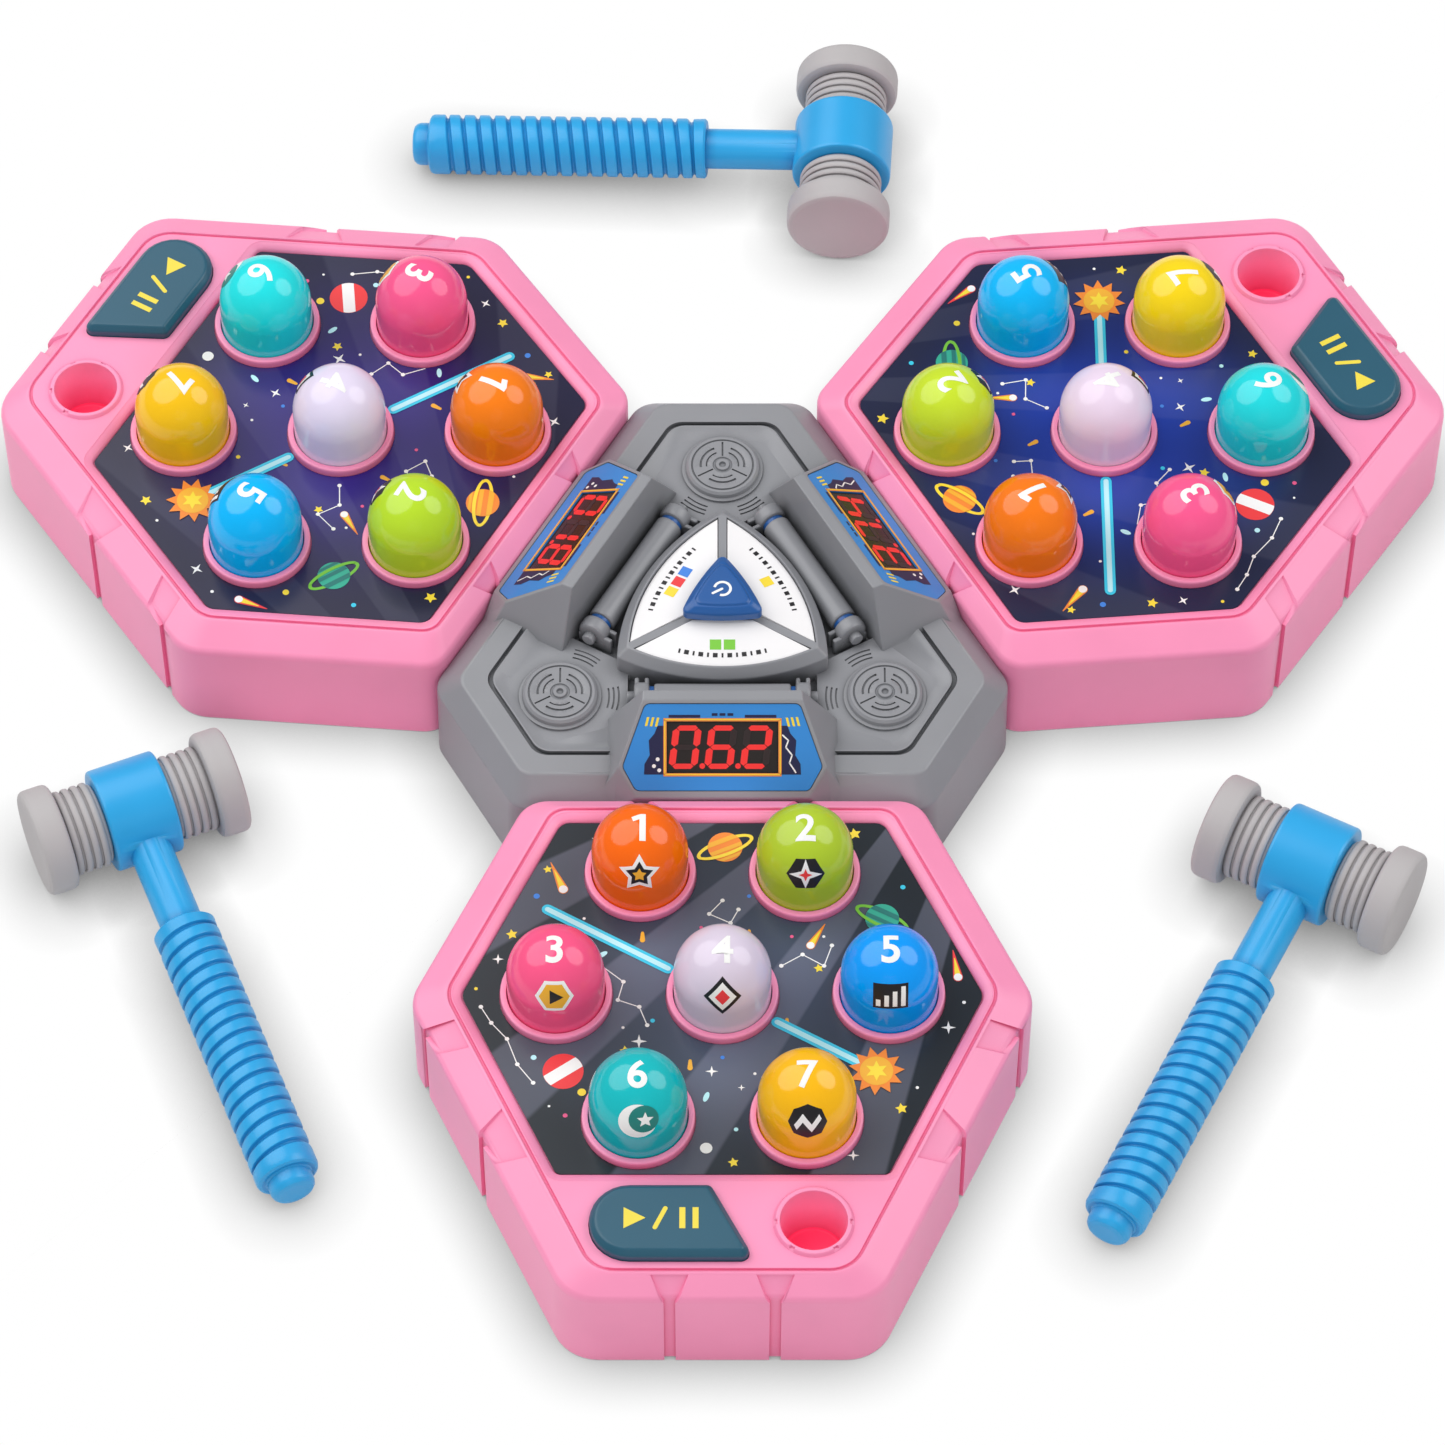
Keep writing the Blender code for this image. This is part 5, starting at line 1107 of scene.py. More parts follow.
def build_pads():
    """One pad modelled in its own axes and copied to the three places."""
    shell, button, cap, sheet = tidy(pad_shell()), tidy(start_button()), dome(), tidy(playfield())
    shell.data.materials.append(PINK)
    # painted shade and painted glow inside the cup
    line_cup(shell)
    prints = [dome_print(i, cap) for i in range(len(DOME_SPOTS))]
    stars = printed("stars", field_motifs(), BED_TOP + SEAT_GAP + SHEET_THICKNESS)
    sign = start_sign()
    for side in PAD_DIRECTIONS:
        place = pad_place(side)
        key = f"{side}_start_button"
        ride(copied(shell, f"{side}_pink_casing", place), "base", None, f"{side}_pad_top_shell")
        ride(copied(button, f"{side}_start_key", place), key, SLATE_BLUE, key)
        ride(copied(sheet, f"{side}_printed_sheet", place), "base", FIELDS[side], f"{side}_pad_playfield")
        ride(copied(stars, f"{side}_field_print", place), "base", None)
        ride(copied(sign, f"{side}_start_sign", place), key, None)
        for i, (x, y) in enumerate(DOME_SPOTS):
            node = f"{side}_dome_{i + 1}"
            spot = place @ Matrix.Translation((x, y, 0))
            ride(copied(cap, f"{side}_cap_{i + 1}", spot), node, CAPS[side][i], node)
            ride(copied(prints[i], f"{side}_cap_print_{i + 1}", spot), node, None)
    remove(shell, button, cap, sheet, stars, sign, *prints)


# Turns of the console's three sides, and the display face's matrix: across, up the slope and out of it
TURNS = [Matrix.Rotation(direction, 4, "Z") for direction in PAD_DIRECTIONS.values()]
ACROSS = Vector((0, 1, 0))
FACE_FRAME = Matrix.Translation(FACE_MIDDLE) @ Matrix((ACROSS, FACE_UP, ACROSS.cross(FACE_UP))).transposed().to_4x4()
# Corners of the six-sided display face, counter-clockwise from the upper right
FACE_CORNERS = [
    (FACE_TOP_HALF, FACE_HALF), (-FACE_TOP_HALF, FACE_HALF), (-FACE_TIP_HALF, -FACE_TIP_DROP),
    (-FACE_FOOT_HALF, -FACE_HALF), (FACE_FOOT_HALF, -FACE_HALF), (FACE_TIP_HALF, -FACE_TIP_DROP)]


def console_outline(side, lobe, radius):
    """Rounded console outline: three sides that face the pads and three lobe ends."""
    sides = [(math.radians(30 + 60 * i), lobe if i % 2 else side) for i in range(6)]
    return rounded(corners_of(sides), radius)


def console_rim(moved_in, radius=CONSOLE_RIM_CORNERS):
    """Console outline inside the rim's outer edge."""
    return console_outline(CONSOLE_RIM[0] - moved_in, CONSOLE_RIM[1] - moved_in, radius)


def side_arc(tip, bow):
    """Centre offset and radius of the bowed side between two tips of a three-sided outline."""
    middle = tip * bow
    centre = (middle ** 2 - tip ** 2) / (2 * middle - tip)
    return centre, middle - centre


def bowed_triangle(tip, tip_radius, bow=FRAME_BOW):
    """Three bowed sides with rounded tips, the tips on the lobe directions."""
    centre, radius = side_arc(tip, bow)
    reach = (centre + math.sqrt(4 * (radius - tip_radius) ** 2 - 3 * centre ** 2)) / 2
    side_sweep = math.atan2(reach * math.sqrt(3) / 2, reach / 2 - centre)
    tip_sweep = math.pi / 3 - side_sweep
    points = []
    for direction in PAD_DIRECTIONS.values():
        for angle in steps_between(-side_sweep, side_sweep, BOW_STEPS):
            points.append(turned_point(centre + radius * math.cos(angle), radius * math.sin(angle), direction))
        for angle in steps_between(-tip_sweep, tip_sweep, TIP_STEPS)[1:-1]:
            spot = (reach + tip_radius * math.cos(angle), tip_radius * math.sin(angle))
            points.append(turned_point(*spot, direction + math.pi / 3))
    return points


def panel_outline(growth):
    """Rounded outline of the display panel, or of its recess."""
    return rounded(inset(FACE_CORNERS, -growth), FACE_CORNER_RADIUS + growth, 4)


def window_block(name, growth, low, high):
    """A box as wide as the display window, grown by a margin."""
    width, height = WINDOW_HALF_WIDTH + growth, WINDOW_HALF_HEIGHT + growth
    return block(name, (-width, -height, low), (width, height, high))


def shave(solid, start, end):
    """Cut a solid back to a flank that leans out from an edge down to the tray."""
    edge = end - start
    outward = Vector((edge.y, -edge.x, 0)).normalized()
    if outward.y * start.y < 0:
        outward.negate()
    slope = outward * math.sin(FLANK_TILT) - Vector((0, 0, math.cos(FLANK_TILT)))
    normal = edge.cross(slope).normalized()
    if normal.dot(outward) < 0:
        normal.negate()
    with editing(solid):
        bpy.ops.mesh.bisect(plane_co=start, plane_no=normal, use_fill=True, clear_outer=True)


def display_housing():
    """Sloped housing: a profile along the radius, shaved by four leaning flanks, with soft edges."""
    fall = -FACE_UP.z / FACE_UP.x
    top = Vector(FACE_TOP) + FACE_BORDER * Vector((FACE_UP.x, FACE_UP.z))
    profile = [
        (HOUSING_BACK, CONSOLE_WALL_TOP), (CONSOLE_SIDE, CONSOLE_WALL_TOP),
        (CONSOLE_SIDE, FACE_FOOT[1] - (CONSOLE_SIDE - FACE_FOOT[0]) * fall), tuple(top),
        (top.x - RIDGE_DEPTH, top.y + RIDGE_RISE), (HOUSING_BACK, MOAT_FLOOR)]
    housing = plates("housing", [profile], -HOUSING_HALF, HOUSING_HALF)
    settle(housing, Matrix.Rotation(math.pi / 2, 4, "X"))
    corners = [FACE_FRAME @ corner.to_3d() for corner in inset(FACE_CORNERS, -FACE_BORDER)]
    for first, second in ((0, 5), (5, 4), (1, 2), (2, 3)):
        shave(housing, corners[first], corners[second])
    return softened_edges(housing, HOUSING_ROUND, 3, HOUSING_ROUND_ANGLE)


def lying(piece, turn=0.0):
    """Lay an upright piece across, on the rail's axis, and turn it to a side of the console."""
    level = MOAT_FLOOR + RAIL_LIFT + RAIL_RADIUS
    move = Matrix.Translation((RAIL_REACH, 0, level)) @ Matrix.Rotation(math.pi / 2, 4, "X")
    return settle(piece, Matrix.Rotation(turn, 4, "Z") @ move)


def rail():
    """Parts of a round rail behind a display housing, with a knuckle, a fork and a stub at each end."""
    half, reach, low = CLEVIS_WIDTH / 2, CLEVIS_DEPTH / 2, MOAT_FLOOR - SEAT_GAP
    run = RAIL_HALF_LENGTH - half - RAIL_NECK
    parts = [lying(rod("rail", RAIL_RADIUS, -run, run, 32, RAIL_ROUND))]
    for sign in (-1, 1):
        end = sign * RAIL_HALF_LENGTH
        high = (RAIL_REACH + reach, end + half, MOAT_FLOOR + CLEVIS_HEIGHT * 0.5)
        parts.append(softened_edges(block("foot", (RAIL_REACH - reach, end - half, low), high), FOOT_ROUND))
        parts.append(lying(rod("knuckle", reach, end - half, end + half, 32, KNUCKLE_ROUND)))
        stub = sorted((end, end + sign * (half + EAR_REACH)))
        parts.append(lying(rod("stub", STUB_RADIUS, *stub, 24, EAR_ROUND)))
        for side in (-1, 1):
            middle = end + side * CLEVIS_WIDTH * 0.32
            ear = block(
                "ear", (RAIL_REACH - reach - EAR_REACH, middle - EAR_HALF, low),
                (RAIL_REACH - reach + EAR_SINK, middle + EAR_HALF, MOAT_FLOOR + CLEVIS_HEIGHT * 0.78))
            parts.append(softened_edges(ear, EAR_ROUND))
    return parts


def rail_necks():
    """Blue bushings between the rails and their knuckles."""
    half = RAIL_HALF_LENGTH - CLEVIS_WIDTH / 2
    return joined("blue_bushings", *[
        lying(rod("bushing", RAIL_RADIUS * 0.82, low - SEAT_GAP, high + SEAT_GAP, 24), direction)
        for direction in PAD_DIRECTIONS.values()
        for low, high in ((-half, RAIL_NECK - half), (half - RAIL_NECK, half))])


def grille_disc(direction):
    """Round disc with a dimpled hub, a ring groove, three curved slots and three spokes."""
    spot = turned_point(DISC_REACH, 0, direction)
    top, foot = TRAY_TOP + DISC_HEIGHT, TRAY_TOP - SEAT_GAP
    ring, edge = DISC_RADIUS * 0.84, DISC_RADIUS + DISC_FOOT
    profile = [(radius, top + rise) for radius, rise in (
        (0, -0.0006), (0.0011, -0.0006), (0.0014, 0.0003), (0.0026, 0.0003), (0.0029, -0.0005), (0.0036, -0.0005),
        (0.0039, 0), (ring - 0.0004, 0), (ring - 0.0002, -0.0006), (ring + 0.0002, -0.0006), (ring + 0.0004, 0),
        (DISC_RADIUS - 0.0009, 0), (DISC_RADIUS, -0.0009))]
    profile += [(DISC_RADIUS + 0.0004, TRAY_TOP + 0.0011), (edge, TRAY_TOP + 0.0009), (edge, foot), (0, foot)]
    disc = turned("disc", profile, spot, 64)
    start, end, half = 0.0043, ring - 0.0009, 0.00035
    cuts = []
    for i in range(3):
        spoke = direction + math.radians(120 * i)
        line = ((start, -half), (end, -half), (end, half), (start, half))
        cuts.append(put([turned_point(along, across, spoke) for along, across in line], spot))
        sweep = [spoke + math.radians(angle) for angle in (22, 98)]
        for share, width in ((0.6, 0.0009), (0.44, 0.0006)):
            cuts.append(arc_band(spot, DISC_RADIUS * share, width, *sweep))
    return carve(disc, plates("slots", cuts, top - DISC_SLOT_DEPTH, top + OVERRUN))


def mode_outline():
    """One third of the framed area between two ribs, drawn along +X."""
    lean = math.radians(60)
    edge = RIB_WIDTH / 2 + SEAT_GAP
    centre, radius = side_arc(MODE_TIP, FRAME_BOW)
    widest = math.acos((edge - centre * math.sin(lean)) / radius) - (math.pi / 2 - lean)
    bow = [(centre + radius * math.cos(angle), radius * math.sin(angle))
           for angle in steps_between(-widest, widest, BOW_STEPS)]
    across = (HUB_REACH * math.sin(lean) - edge) / math.cos(lean)
    return [(HUB_REACH, -across)] + bow + [(HUB_REACH, across)]


def mode_top(x, _=0.0):
    """Height of the mode buttons' top, which falls outwards."""
    return FRAME_TOP + MODE_RISE - (x - HUB_REACH) * MODE_SLOPE


def raised_frame():
    """Three-sided frame with bowed sides and a bevelled band."""
    rings = [(bowed_triangle(FRAME_TIP - moved_in, FRAME_TIP_RADIUS), level) for moved_in, level in (
        (0, MOAT_FLOOR - SEAT_GAP), (0, FRAME_SHOULDER), (FRAME_BAND, FRAME_TOP),
        (FRAME_BAND + FRAME_BEVEL, FRAME_TOP))]
    return lofted("frame", softened(rings, FRAME_FILLET))


def console_cover():
    """Grey casing of the console."""
    groove, groove_floor = RIM_BAND + GROOVE_WIDTH, CONSOLE_RIM_TOP - GROOVE_DEPTH
    brim = groove + GROOVE_LAND
    body = softened([
        (console_outline(CONSOLE_SIDE, CONSOLE_LOBE, CONSOLE_CORNERS), SHELL_FOOT),
        (console_outline(CONSOLE_SIDE, CONSOLE_LOBE_TOP, CONSOLE_CORNERS), CONSOLE_WALL_TOP),
        (console_rim(0), CONSOLE_RIM_TOP), (console_rim(RIM_BAND), CONSOLE_RIM_TOP)], CONSOLE_FILLET)
    cover = lofted("console_cover", body + [
        (console_rim(RIM_BAND), groove_floor), (console_rim(groove), groove_floor),
        (console_rim(groove), CONSOLE_RIM_TOP), (console_rim(brim), CONSOLE_RIM_TOP),
        (console_rim(brim + TRAY_SLOPE, TRAY_CORNERS), TRAY_TOP)])
    for turn in TURNS:
        high = (HOUSING_BACK + OVERRUN, MOAT_HALF, CONSOLE_RIM_TOP + OVERRUN)
        carve(cover, settle(block("moat", (MOAT_START, -MOAT_HALF, MOAT_FLOOR), high), turn))
    carve(cover, tray_slots())
    housing = display_housing()
    for turn in TURNS:
        carve(cover, copied(housing, "housing_copy", turn), "UNION")
    remove(housing)
    carve(cover, raised_frame(), "UNION")
    hollow = console_outline(*CONSOLE_HOLLOW, CONSOLE_CORNERS - CONSOLE_WALL)
    carve(cover, lofted("cavity", [
        (hollow, SHELL_FOOT - OVERRUN), (hollow, CONSOLE_WALL_TOP - CONSOLE_WALL),
        (console_rim(CONSOLE_WALL, CONSOLE_CORNERS - CONSOLE_WALL), CONSOLE_CEILING)]))
    under_frame = bowed_triangle(FRAME_TIP - 2 * CONSOLE_WALL, FRAME_TIP_RADIUS)
    carve(cover, plates("frame_hollow", [under_frame], CONSOLE_CEILING - OVERRUN, FRAME_UNDERSIDE))
    for turn in TURNS:
        for tool in face_tools():
            carve(cover, settle(tool, turn))
    stem = circle(0, 0, STEM_RADIUS + SEAT_GAP, 24)
    carve(cover, plates("stem_hole", [stem], FRAME_UNDERSIDE - OVERRUN, FRAME_TOP + OVERRUN))
    parts = [grille_disc(direction) for direction in LOBE_DIRECTIONS]
    rods = joined("rail", *rail())
    parts += [copied(rods, "rail_copy", turn) for turn in TURNS]
    remove(rods)
    return joined("console_casing", cover, *parts)


def tray_slots():
    """Curved grille slots in the tray round each disc, on the side towards the frame."""
    slots = []
    for direction in LOBE_DIRECTIONS:
        spot = turned_point(DISC_REACH, 0, direction)
        for i in range(3):
            radius = DISC_RADIUS + DISC_FOOT + TRAY_SLOT_START + TRAY_SLOT_PITCH * i
            for ends in ((134, 162), (198, 226)):
                sweep = [direction + math.radians(angle) for angle in ends]
                slots.append(arc_band(spot, radius, TRAY_SLOT_WIDTH, *sweep))
    return plates("tray_slots", slots, TRAY_TOP - TRAY_SLOT_DEPTH, TRAY_TOP + OVERRUN)


def face_tools():
    """What is cut for one side: mode button hole, panel recess, module pocket and tongue slot."""
    hole = plates("mode_hole", [inset(mode_outline(), -SEAT_GAP)], FRAME_UNDERSIDE - OVERRUN, FRAME_TOP + OVERRUN)
    floor = -PANEL_REVEAL - PANEL_THICKNESS - SEAT_GAP
    recess = settle(plates("recess", [panel_outline(SEAT_GAP)], floor, OVERRUN), FACE_FRAME)
    floor = -PANEL_REVEAL - MODULE_REVEAL - MODULE_DEPTH - SEAT_GAP
    pocket = settle(window_block("pocket", SEAT_GAP, floor, OVERRUN), FACE_FRAME)
    half = TONGUE_HALF + SEAT_GAP
    slot = block(
        "tongue_slot", (CONSOLE_HOLLOW[0] - OVERRUN, -half, TONGUE_LEVEL - SEAT_GAP),
        (CONSOLE_SIDE + OVERRUN, half, TONGUE_LEVEL + TONGUE_HEIGHT + SEAT_GAP))
    return [hole, recess, pocket, slot]


def mode_button():
    """Flat key that falls outwards, with a softened edge."""
    body = mode_outline()
    flange, flange_top = inset(body, -MODE_FLANGE), FRAME_UNDERSIDE - SEAT_GAP
    top = softened([(body, flange_top), (body, mode_top), (inset(body, MODE_EDGE), mode_top)], MODE_FILLET)
    return lofted("mode_button", [(flange, flange_top - MODE_FLANGE_HEIGHT), (flange, flange_top)] + top)


def power_button():
    """Three-sided cap with a raised middle, on its stem."""
    rings = [(bowed_triangle(POWER_TIP - moved_in, POWER_TIP_RADIUS, POWER_BOW), level) for moved_in, level in (
        (0, POWER_FOOT), (0, POWER_TOP - 0.0026), (0.004, POWER_TOP - 0.0008), (0.0052, POWER_TOP - 0.0008),
        (0.006, POWER_TOP), (0.008, POWER_TOP))]
    cap = lofted("power_cap", softened(rings, POWER_FILLET))
    stem = rod("stem", STEM_RADIUS, FRAME_UNDERSIDE - SEAT_GAP - STEM_DROP, POWER_FOOT + STEM_SINK, ROUND_STEPS)
    return joined("power_key", cap, stem)


def display_panel():
    """Printed panel of a display housing, with the window cut out."""
    low = -PANEL_REVEAL - PANEL_THICKNESS
    panel = plates("display_panel", [panel_outline(0)], low, -PANEL_REVEAL)
    return settle(carve(panel, window_block("window", SEAT_GAP, low - OVERRUN, OVERRUN)), FACE_FRAME)


def led_module():
    """Number display block behind the panel's window."""
    front = -PANEL_REVEAL - MODULE_REVEAL
    module = window_block("led_module", 0, front - MODULE_DEPTH, front)
    return settle(softened_edges(module, MODULE_ROUND, 2), FACE_FRAME)


def segments(digit, spot):
    """Lit and unlit bars of one slanting digit, in millimetres."""
    high, wide, thick, lean = 7.3, 4.2, 2.0, 0.12
    bars = [
        ((-wide, high), (wide, high)), ((wide, high), (wide, 0)), ((wide, 0), (wide, -high)),
        ((-wide, -high), (wide, -high)), ((-wide, -high), (-wide, 0)), ((-wide, 0), (-wide, high)),
        ((-wide, 0), (wide, 0))]
    shapes = []
    for i, (start, end) in enumerate(bars):
        start, end = Vector(start), Vector(end)
        along = (end - start).normalized()
        across = Vector((-along.y, along.x)) * thick / 2 * (1.3 if along.x == 0 else 1)
        start, end, point = start + along * 0.2, end - along * 0.2, along * thick / 2
        outline = [
            start, start + point - across, end - point - across, end, end - point + across, start + point + across]
        lit = "segment_red" if str(i) in LIT_BARS[digit] else "segment_dark"
        shapes.append((put([(x + y * lean, y) for x, y in outline], spot), lit, 1))
    return shapes


def number_shapes(digits):
    """Three digits with a point after the first two."""
    shapes = []
    for i, digit in enumerate(digits, -1):
        shapes += segments(digit, (13.6 * i - 0.6, 0))
        if i < 1:
            shapes.append((circle(13.6 * i + 5.9, -7.2, 1.1, 16), "segment_red", 1))
    return shapes


def panel_shapes():
    """Own plain print round a window: frame, side fields, bars, ticks, dots and a zigzag."""
    width, height = WINDOW_HALF_WIDTH / MM + 0.3, WINDOW_HALF_HEIGHT / MM + 0.3
    field = [(0, 8.2), (3.4, 8.2), (4.6, 5.2), (6.8, 2.6), (6.4, -3), (8.4, -6.4), (8.6, -10.4), (0, -10.4)]
    shapes = []
    for sign in (-1, 1):
        shapes.append(([(sign * (width - 0.2 + x), y) for x, y in field], "navy", 1))
        shapes.append((slab((sign * 14.5, height + 1.7), 12, 1.1), "navy", 1))
        for i in range(3):
            shapes.append((slab((sign * (width + 3.4 + 1.9 * i), 9.6 + 0.1 * i), 0.9, 3.4, -sign * 0.25), "yellow", 1))
    shapes += [(slab((x, height + 2.4), 2.2, 1.0), "navy", 1) for x in (-3, 0, 3)]
    for y in (height + 0.4, -height - 0.4):
        shapes.append((slab((0, y), 2 * width + 2, 1.2), "frame_orange", 2))
        shapes.append((slab((0, y + 0.1), 2 * width + 0.6, 0.35), "yellow", 3))
    for sign in (-1, 1):
        shapes.append((slab((sign * (width + 0.4), 0), 1.2, 2 * height + 1), "frame_orange", 2))
        shapes.append((slab((sign * (width + 0.5), 0), 0.35, 2 * height), "yellow", 3))
    for x, y in ((-3.2, -4.6), (-4.6, -7.2), (-2.6, -8.8)):
        shapes.append((circle(x - width, y, 0.75, 14), "white", 2))
    bolt = [(width + x, y) for x, y in ((1.4, 4.6), (3.6, 2.6), (2.6, 0), (5.0, -3), (4.0, -6), (6.4, -9.6))]
    return shapes + [(stroke(a, b, 0.55), "white", 2) for a, b in zip(bolt, bolt[1:])]


def mode_print(name, colours):
    """Plain coloured tiles and a row of dashes for a mode button."""
    shift = (len(colours) - 1) / 2
    shapes = [(slab((19.8, 5.4 * (i - shift)), 4.4, 4.4), colour, 1) for i, colour in enumerate(colours)]
    centre, radius = side_arc(MODE_TIP, FRAME_BOW)
    for i in range(-6, 7):
        middle, half = math.radians(2.3 * i), math.radians(0.3 + 0.45 * (i % 2))
        dash = arc_band((centre / MM, 0), radius / MM - 5.2, 1.9, middle - half, middle + half, 2)
        shapes.append((dash, "black", 1))
    piece = printed(name, shapes)
    for vertex in piece.data.vertices:
        vertex.co.z += mode_top(vertex.co.x)
    return piece


def power_sign():
    """Common power sign: an open ring and a bar."""
    turn = math.radians(210)
    ring = arc_band((0, 0), 3.1, 1.05, turn + math.radians(42), turn + math.radians(318), 24)
    bar = stroke(turned_point(0.2, 0, turn), turned_point(4.3, 0, turn), 1.05)
    return printed("power_sign", [(ring, "white", 1), (bar, "white", 1)], POWER_TOP)


def build_console():
    """The casing, bushings and power button, then what repeats on the three sides."""
    ride(tidy(console_cover(), CONSOLE_SMOOTH_ANGLE), "base", GREY, "console_top_cover")
    ride(tidy(rail_necks()), "base", POWER_BLUE)
    key, panel, module = tidy(mode_button()), tidy(display_panel()), tidy(led_module())
    ride(tidy(power_button()), "power_button", POWER_BLUE, "power_button")
    ride(power_sign(), "power_button", None)
    border = printed("panel_print", panel_shapes(), -PANEL_REVEAL)
    for side, facing in zip(PAD_DIRECTIONS, TURNS):
        on_face, node = facing @ FACE_FRAME, f"{side}_mode_button"
        digits = printed(f"{side}_digits", number_shapes(NUMBERS[side]), -PANEL_REVEAL - MODULE_REVEAL)
        ride(settle(digits, on_face), "base", None)
        ride(copied(border, f"{side}_panel_print", on_face), "base", None)
        ride(settle(mode_print(f"{side}_mode_print", MODE_TILES[side]), facing), node, None)
        ride(copied(key, f"{side}_mode_key", facing), node, WHITE, node)
        ride(copied(panel, f"{side}_printed_panel", facing), "base", PANEL, f"{side}_display_panel")
        ride(copied(module, f"{side}_number_module", facing), "base", SMOKED, f"{side}_led_display")
    remove(key, panel, module, border)


def hammer_barrel():
    """Round barrel with soft edges and a socket at each end, drawn along +Z."""
    socket, bore = BARREL_HALF - SPIGOT_LENGTH - SEAT_GAP, SPIGOT_RADIUS + SEAT_GAP
    upper = [(0, socket), (bore, socket), (bore, BARREL_HALF), (BARREL_RADIUS, BARREL_HALF)]
    profile = upper + [(radius, -level) for radius, level in upper[::-1]]
    return turned("barrel", rounded_profile(profile, {3: BARREL_EDGE, 4: BARREL_EDGE}), steps=64)


def hammer_grip():
    """Stem, ribbed grip and stepped end plug, drawn along +Z; the ribs lean a little."""
    root, first = BARREL_RADIUS - 0.004, GRIP_START + 0.0048
    pitch = (GRIP_END - 0.003 - first) / GRIP_RIBS
    rings = [
        (0.001, root), (HANDLE_STEM_RADIUS, root), (HANDLE_STEM_RADIUS, GRIP_START),
        (GRIP_RADIUS - 0.0008, GRIP_START), (GRIP_RADIUS, GRIP_START + 0.0008)]
    for i in range(GRIP_RIBS):
        rings += [(radius, first + pitch * (i + share)) for radius, share in (
            (GRIP_RADIUS - 0.0002, 0), (GRIP_VALLEY + 0.0002, 0.09), (GRIP_VALLEY, 0.15), (GRIP_VALLEY + 0.0002, 0.22),
            (GRIP_RADIUS - 0.0002, 0.34), (GRIP_RADIUS, 0.42), (GRIP_RADIUS, 0.93))]
    rings += [(GRIP_RADIUS - less, GRIP_END - drop) for less, drop in ((0, 0.0018), (0.0005, 0.0006), (0.0016, 0))]
    rings += [(PLUG_RADIUS + 0.0006, GRIP_END), (PLUG_RADIUS, GRIP_END + 0.0006)]
    rings += [(PLUG_RADIUS - less, HANDLE_REACH - drop) for less, drop in (
        (0, 0.003), (0.0004, 0.0016), (0.0014, 0.0005), (0.0026, 0.0001), (0.004, 0))]
    made = []
    for radius, level in rings:
        runs = (level - GRIP_START - 0.001, GRIP_END - 0.0012 - level)
        lean = GRIP_LEAN * math.prod(min(max(run / GRIP_FADE, 0), 1) for run in runs)
        made.append((circle(0, 0, radius), lambda x, y, level=level, lean=lean: level - lean * y))
    return lofted("grip", made)


def hammer_head():
    """Soft ribbed end with a mushroom face, drawn along +Z from the barrel."""
    seat, face = BARREL_HALF + SEAT_GAP, HEAD_LENGTH / 2
    under = face - HEAD_CAP
    profile = [(0, face), (HEAD_RADIUS, face), (HEAD_RADIUS, under), (NECK_RADIUS, under), (NECK_RADIUS, seat)]
    made = rounded_profile(profile, {1: HEAD_ROUND, 2: HEAD_ROUND})[:-1]
    pitch = (under - seat - 0.001) / NECK_RIBS
    for i in range(NECK_RIBS):
        for angle in steps_between(0, math.pi, NECK_RIB_STEPS):
            swell = NECK_RIB * math.sqrt(abs(math.sin(angle)))
            made.append((NECK_RADIUS + swell, under - pitch * (i + 0.12 + 0.38 * (1 - math.cos(angle)))))
    return turned("head", made + [
        (NECK_RADIUS, seat + 0.0006), (NECK_RADIUS - 0.0006, seat), (SPIGOT_RADIUS, seat),
        (SPIGOT_RADIUS, seat - SPIGOT_LENGTH), (0, seat - SPIGOT_LENGTH)], steps=64)


def build_hammers():
    """One hammer, copied to the three places; it rests on its heads' rims and the grip's end."""
    barrel = settle(hammer_barrel(), Matrix.Rotation(math.pi / 2, 4, "X"))
    grip = settle(tidy(hammer_grip()), Matrix.Rotation(math.pi / 2, 4, "Y"))
    handle = tidy(carve(barrel, grip, "UNION"))
    head = hammer_head()
    slope = Matrix.Rotation(math.asin((HEAD_RADIUS - GRIP_RADIUS) / GRIP_END), 4, "Y")
    for side, (x, y, direction) in HAMMER_SPOTS.items():
        place = Matrix.Translation((x, y, HEAD_RADIUS)) @ Matrix.Rotation(direction, 4, "Z") @ slope
        body = f"{side}_hammer"
        ride(copied(handle, f"{side}_blue_handle", place), body, HANDLE, f"{side}_hammer_handle")
        for end, turn in (("near", math.pi / 2), ("far", -math.pi / 2)):
            soft_end = copied(head, f"{side}_{end}_soft_end", place @ Matrix.Rotation(turn, 4, "X"))
            ride(soft_end, body, SOFT, f"{side}_hammer_{end}_head")
    remove(handle, head)


build_pads()
build_console()
build_hammers()

KEPT = {"console_base_plate": GREY, "battery_door": GREY, "main_circuit_board": BOARD, "speaker": CONE}
for side in PAD_DIRECTIONS:
    KEPT[f"{side}_pad_bottom_cover"] = PINK
    KEPT[f"{side}_pad_circuit_board"] = BOARD
for node, material in KEPT.items():
    bpy.data.objects[node].material_slots[0].material = material

# Camera where the photographer stood
camera = bpy.data.objects.new("camera", bpy.data.cameras.new("camera"))
bpy.context.scene.collection.objects.link(camera)
camera.location = (0, -1.484, 2.161)
camera.rotation_euler = (math.radians(90 - 55.84), 0, 0)
camera.data.lens = 165.9
camera.data.sensor_width = 36
bpy.context.scene.camera = camera


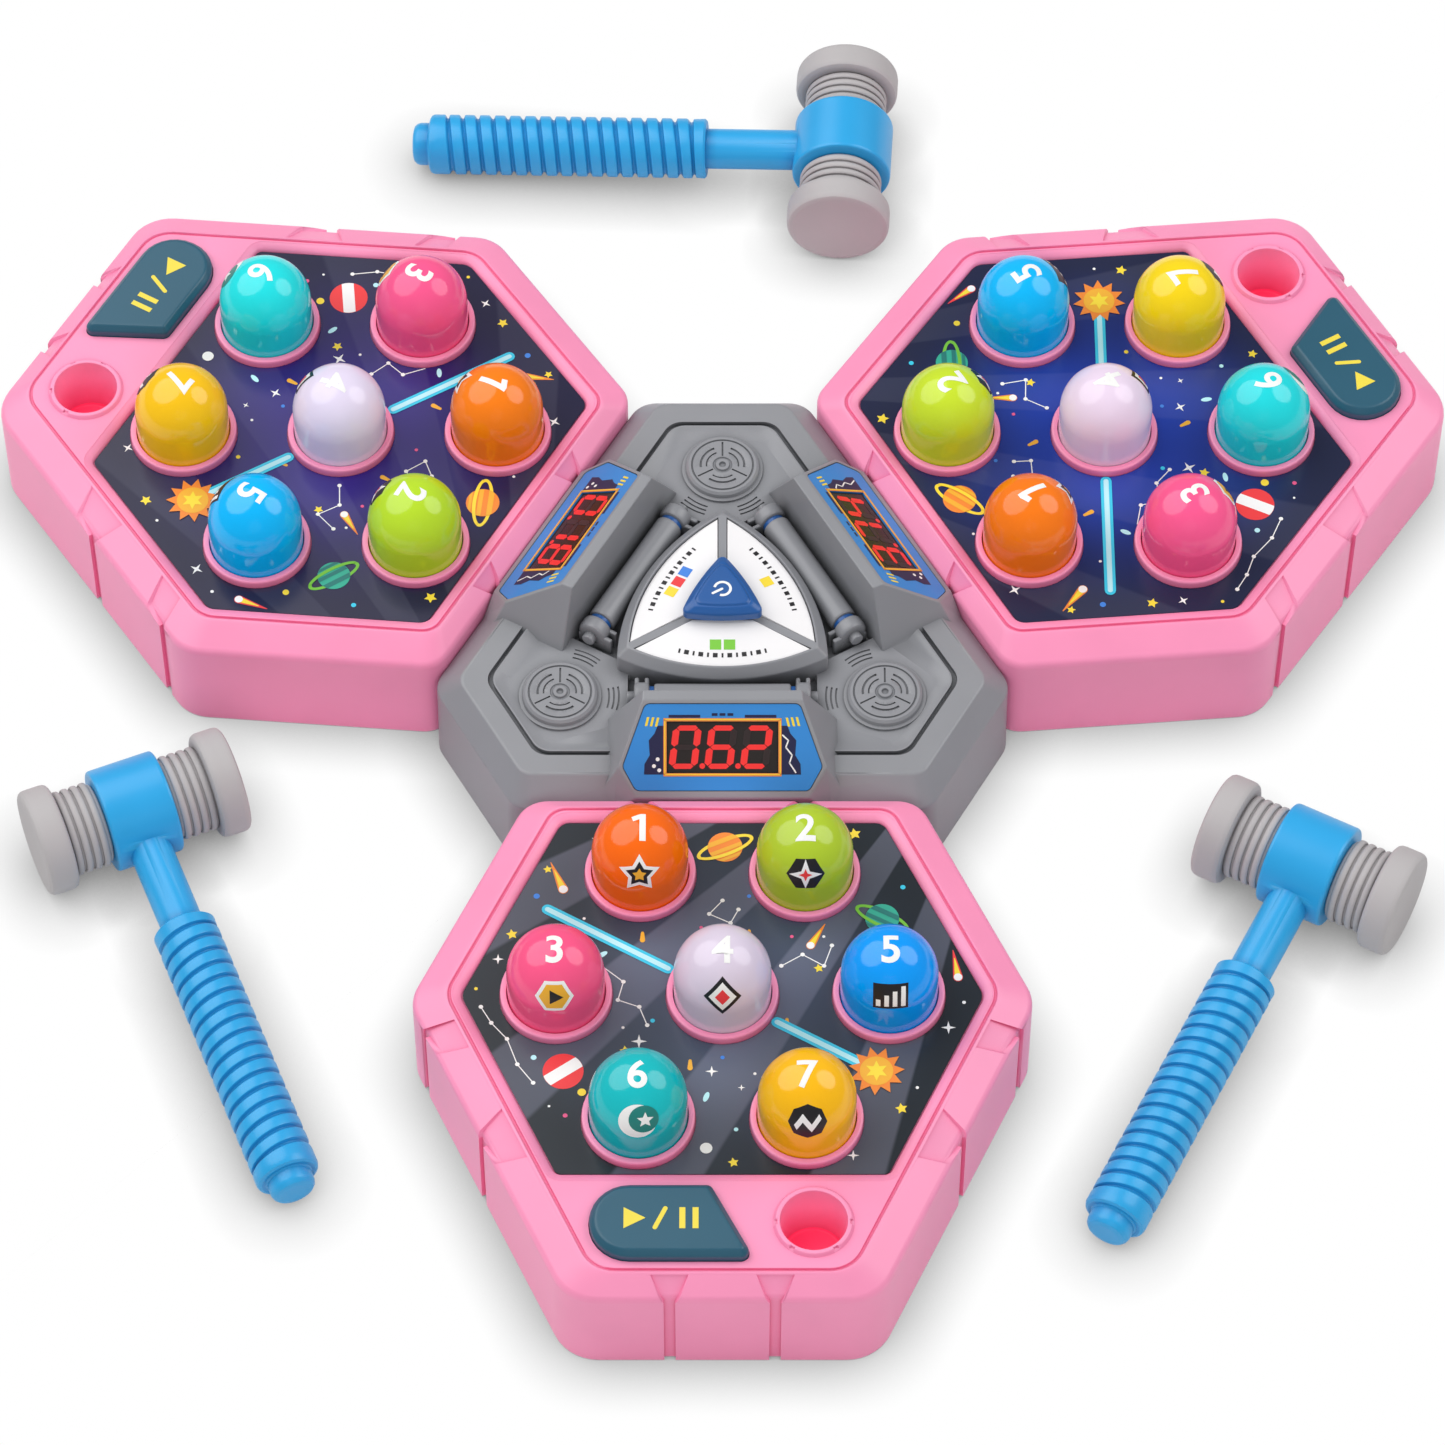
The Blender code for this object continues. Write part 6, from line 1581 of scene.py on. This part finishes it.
def softbox(name, place, width, strength, glossy=True):
    """A round studio lamp that points at the toy."""
    lamp = bpy.data.lights.new(name, "AREA")
    lamp.shape = "DISK"
    lamp.size = width
    lamp.energy = strength
    made = bpy.data.objects.new(name, lamp)
    made.location = place
    made.rotation_euler = (-Vector(place)).to_track_quat("-Z", "Y").to_euler()
    made.visible_glossy = glossy
    bpy.context.scene.collection.objects.link(made)


softbox("key_lamp", (-1.15, 0.6, 1.7), 2.6, 36)
softbox("side_lamp", (1.4, 0.4, 1.5), 1.6, 16)
softbox("front_lamp", (0, -1.9, 1.5), 1.4, 16, glossy=False)

# White surroundings, dimmer where they only light the toy
world = bpy.data.worlds.new("studio")
bpy.context.scene.world = world
world.use_nodes = True
tree = world.node_tree
background = tree.nodes["Background"]
background.inputs["Color"].default_value = (1, 1, 1, 1)
seen = add(tree, "LightPath").outputs["Is Camera Ray"]
level = add(tree, "MapRange", {"Value": seen}, To_Min=0.25, To_Max=1.0)
tree.links.new(level.outputs["Result"], background.inputs["Strength"])

# Floor of white paper: the camera sees it as pure white emission, darkened close to the toy by an ambient-occlusion
# mask as a painted shadow
clear_selection()
bpy.ops.mesh.primitive_plane_add(size=20)
floor = named("floor")
paper = bpy.data.materials.new("white_paper")
paper.use_nodes = True
tree = paper.node_tree
bounce = tree.nodes["Principled BSDF"]
bounce.inputs["Base Color"].default_value = (0.8, 0.8, 0.8, 1)
bounce.inputs["Roughness"].default_value = 0.9
# painted shadow: the ambient-occlusion mask darkens the white near the toy
painted_shade = add(tree, "AmbientOcclusion", samples=16, Distance=0.024)
depth = add(tree, "Math", {0: painted_shade.outputs["AO"], 1: 0.9}, operation="POWER")
tones = {6: (0.03, 0.03, 0.03, 1), 7: (1, 1, 1, 1)}
shade = add(tree, "Mix", {"Factor": depth.outputs["Value"], **tones}, data_type="RGBA")
white = add(tree, "Emission", {"Color": shade.outputs[2]}, Strength=1.0)
seen = add(tree, "LightPath").outputs["Is Camera Ray"]
surface = add(tree, "MixShader", {0: seen, 1: bounce.outputs["BSDF"], 2: white.outputs["Emission"]})
tree.links.new(surface.outputs["Shader"], tree.nodes["Material Output"].inputs["Surface"])
floor.data.materials.append(paper)

bpy.context.scene.view_settings.view_transform = "Standard"
